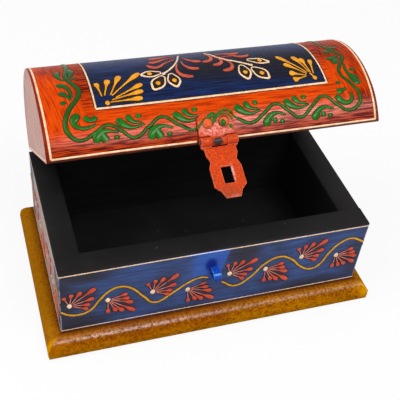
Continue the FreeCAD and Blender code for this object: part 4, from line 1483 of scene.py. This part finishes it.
panel_end = over - panel_start
panel_lines = [upright_line(x, panel_start, panel_end, 0.95) for x in (panel_from, panel_to)]
panel_lines += [
    thread([(panel_from, panel_start - 0.2), (0, panel_start - 0.1), (panel_to, panel_start + 0.4)],
           frame_width),
    thread([(panel_from, panel_end), (0, panel_end), (panel_to, panel_end)], frame_width),
]
foot_end = end_line - end_lean
back_line = over - foot_line
ivory = [upright_line(side * end_line, foot_line, back_line, 1.1, side * end_lean) for side in (-1, 1)]
ivory += [
    thread([(-foot_end, foot_line), (-50, foot_line + 0.2), (hasp_gap[0], foot_line)], 1.0),
    thread([(hasp_gap[1], foot_line), (50, foot_line - 0.1), (foot_end, foot_line)], 0.9),
    thread([(-foot_end, back_line), (0, back_line), (foot_end, back_line)], 0.9),
]
print("lines:", len(panel_lines + ivory))

# %% Corner fans of the blue field
corner_petals = [
    ((-58.7, 33), (-60, 43), 3.0), ((-57.2, 33.4), (-53.4, 44.8), 3.5), ((-54.2, 33.2), (-46.8, 47.2), 3.4),
    ((-53.4, 32.8), (-35.8, 48.2), 3.4), ((-51.8, 31.2), (-36.4, 38.8), 3.1), ((-54, 30), (-37, 33.9), 3.1),
    ((-54.8, 28.7), (-38.2, 29.2), 3.1),
    ((56, 34.4), (43.5, 51), 3.1), ((57.2, 34.8), (52.6, 49.2), 3.5), ((58, 34.4), (56.4, 46.8), 3.3),
    ((59.4, 33.4), (61.2, 44.6), 2.8), ((55.4, 33.6), (45.2, 43.2), 3.3), ((55, 32.4), (45.8, 35.6), 4.0),
    ((54.4, 31.8), (46.6, 30.2), 3.7),
]
front_yellow = [drop(root, tip, width, 0.9) for root, tip, width in corner_petals]
front_yellow += [dot(-56.7, 28.4, 2.8), dot(59.2, 30.2, 2.8)]
front_yellow += [thread([(-56.4, 28.4), (-54.6, 28.8)], 0.8), thread([(59, 30.6), (57.4, 34)], 1.2)]
print("corner petals:", len(corner_petals))

# %% Sprigs and feathers of the blue field
heart_shape = ((0.1, 0.15), (0.35, 0.8), (0.62, 0.95), (0.85, 0.6), (0.95, 0.2))
seed_place, seed_width, seed_ground = 0.58, 2.9, 0.2
feather_widths = (0.7, 1.3, 2.2, 2.6, 1.7)
sprigs = [
    {"stem": [(-22.9, 45.3), (-18.2, 49.2), (-13.2, 55.6), (-8.8, 66.6)],
     "leaves": [((-24.2, 46.5), (-34.9, 46.2), 5.0), ((-23.8, 43.4), (-30.8, 34), 6.8),
                ((-19.3, 44.8), (-18.4, 34.4), 6.3)]},
    {"stem": [(26.8, 45.2), (21.6, 49), (13, 55.2), (8.8, 62.4), (6.6, 67)],
     "leaves": [((26.4, 51), (37.6, 46.7), 4.7), ((21, 46.2), (21.6, 34.5), 6.2),
                ((26.4, 43), (33.2, 33.6), 6.8)]},
]


def seed_leaf(root, tip, width):
    """A pointed oval outline with a dark heart and a seed in it."""
    start, end = Vector(root), Vector(tip)
    along = end - start
    across = Vector((-along.y, along.x)).normalized() * width / 2
    sides = ((0.0, 0.0), (0.25, 0.72), (0.6, 1.0), (0.88, 0.5), (1.0, 0.0))
    right_edge = [start + along * far + across * out for far, out in sides]
    left_edge = [start + along * far - across * out for far, out in sides[1:-1]]
    loop = right_edge + left_edge[::-1]
    sizes = (0.7, 0.8, 1.0, 1.2, 1.4, 1.2, 1.0, 0.8)
    outline = Loop((p.x, p.y, size) for p, size in zip(loop, sizes))
    heart = [(*(start + along * far), width * size) for far, size in heart_shape]
    return outline, heart, dot(*(start + along * seed_place), seed_width, 1.0, seed_ground)


front_ivory = []
hearts = []
for sprig in sprigs:
    front_ivory += [tapered(sprig["stem"], 1.2, 0.9), dot(*sprig["stem"][0], 2.0)]
    for root, tip, width in sprig["leaves"]:
        outline, heart, seed = seed_leaf(root, tip, width)
        front_ivory.append(outline)
        hearts.append(heart)
        front_yellow.append(seed)

feathers = [
    [(-13, 54.1), (-14.9, 48.6), (-14.2, 43.6), (-11, 41.2), (-7.9, 40.7)],
    [(-10.2, 56.7), (-9.8, 52), (-7.6, 48.4), (-5, 47.2), (-2.8, 47.1)],
    [(-7.6, 62), (-6.4, 58.6), (-3.9, 55.8), (-1.6, 54.7), (0.4, 54.4)],
    [(-12.4, 60.6), (-19.2, 56.4), (-25.2, 52), (-27.8, 53), (-29.4, 55.6)],
    [(-12, 64), (-18, 62.4), (-22.8, 59.4), (-25.6, 58.6), (-27.4, 59.4)],
    [(-10.6, 67.4), (-16, 67), (-21, 65), (-24.2, 64.6), (-26.4, 65.2)],
    [(5.3, 66), (7.4, 59.6), (6.6, 55.3), (3.6, 53.5), (1.2, 53.4)],
    [(8.5, 59.7), (11.8, 54.4), (11, 50.4), (8.4, 49), (5.9, 49)],
    [(12.2, 55.6), (16.2, 49), (15.2, 44.3), (12.6, 43), (9.8, 42.9)],
    [(9.4, 61.4), (15.6, 62), (19.6, 60.6), (22.2, 60.4), (24.5, 61.3)],
    [(12.8, 57.2), (19.6, 57.8), (24.2, 55.4), (26.8, 55.4), (29, 56.5)],
]
front_red = [[(*point, width) for point, width in zip(feather, feather_widths)] for feather in feathers]
print("sprigs:", len(sprigs), "feathers:", len(feathers))

# %% Set the lid's strokes
front_wash = outlined(front_yellow, 1.7) + outlined(front_red, 1.2) + hearts
past_hasp = len(vine_left_of_hasp) + len(vine_on_hasp)
vine_on_board = vine_loop[past_hasp:] + vine_loop[:len(vine_left_of_hasp)]
# Dark rims round the green vine and leaves and round the field's frame lines: painted shade at their edges.
green_painted_shade = outlined([vine_on_board] + leaves, 0.6)
frame_painted_shade = outlined(panel_lines, 0.9)
for colour, strokes, press, material in (
    ("wash", front_wash + behind_all(front_wash) + green_painted_shade + frame_painted_shade, 0.05, brown_wash_and_painted_shade),
    ("vine", vine_strokes, 0.4, paste_vine),
    ("leaves", leaves, 0.24, paste_green),
    ("ivory", ivory + panel_lines + front_ivory + behind_all(front_ivory), 0.48, paste_ivory),
    ("yellow", front_yellow + behind_all(front_yellow), 0.19, paste_yellow),
    ("red", front_red + behind_all(front_red), 0.36, paste_salmon),
):
    piece = draw("lid_strokes_" + colour, strokes, press)
    bend_over(piece)
    coat(piece, material)
    hand_in(piece, "lid", "lid_orange")
    print(piece.name, len(piece.data.polygons), "faces")
bpy.data.objects.remove(arch)

# %% A line along the foot of each lid end
end_foot_line = 1.2
end_line_stop = 1.2
end_line_half = lid_half_depth / MM - end_line_stop
end_stroke = thread([(far * end_line_half, end_foot_line) for far in (-1, 0, 1)], 0.8)
for end, side in (("left", -1), ("right", 1)):
    piece = draw("lid_end_line_" + end, [end_stroke], 0.5)
    rotate(piece, x=90, z=90 * side)
    move(piece, (side * lid_half_length, 0, lid_foot))
    piece.data.transform(open_lid)
    coat(piece, paste_ivory)
    hand_in(piece, "lid", "lid_end_red")
print("lines at the lid's ends")
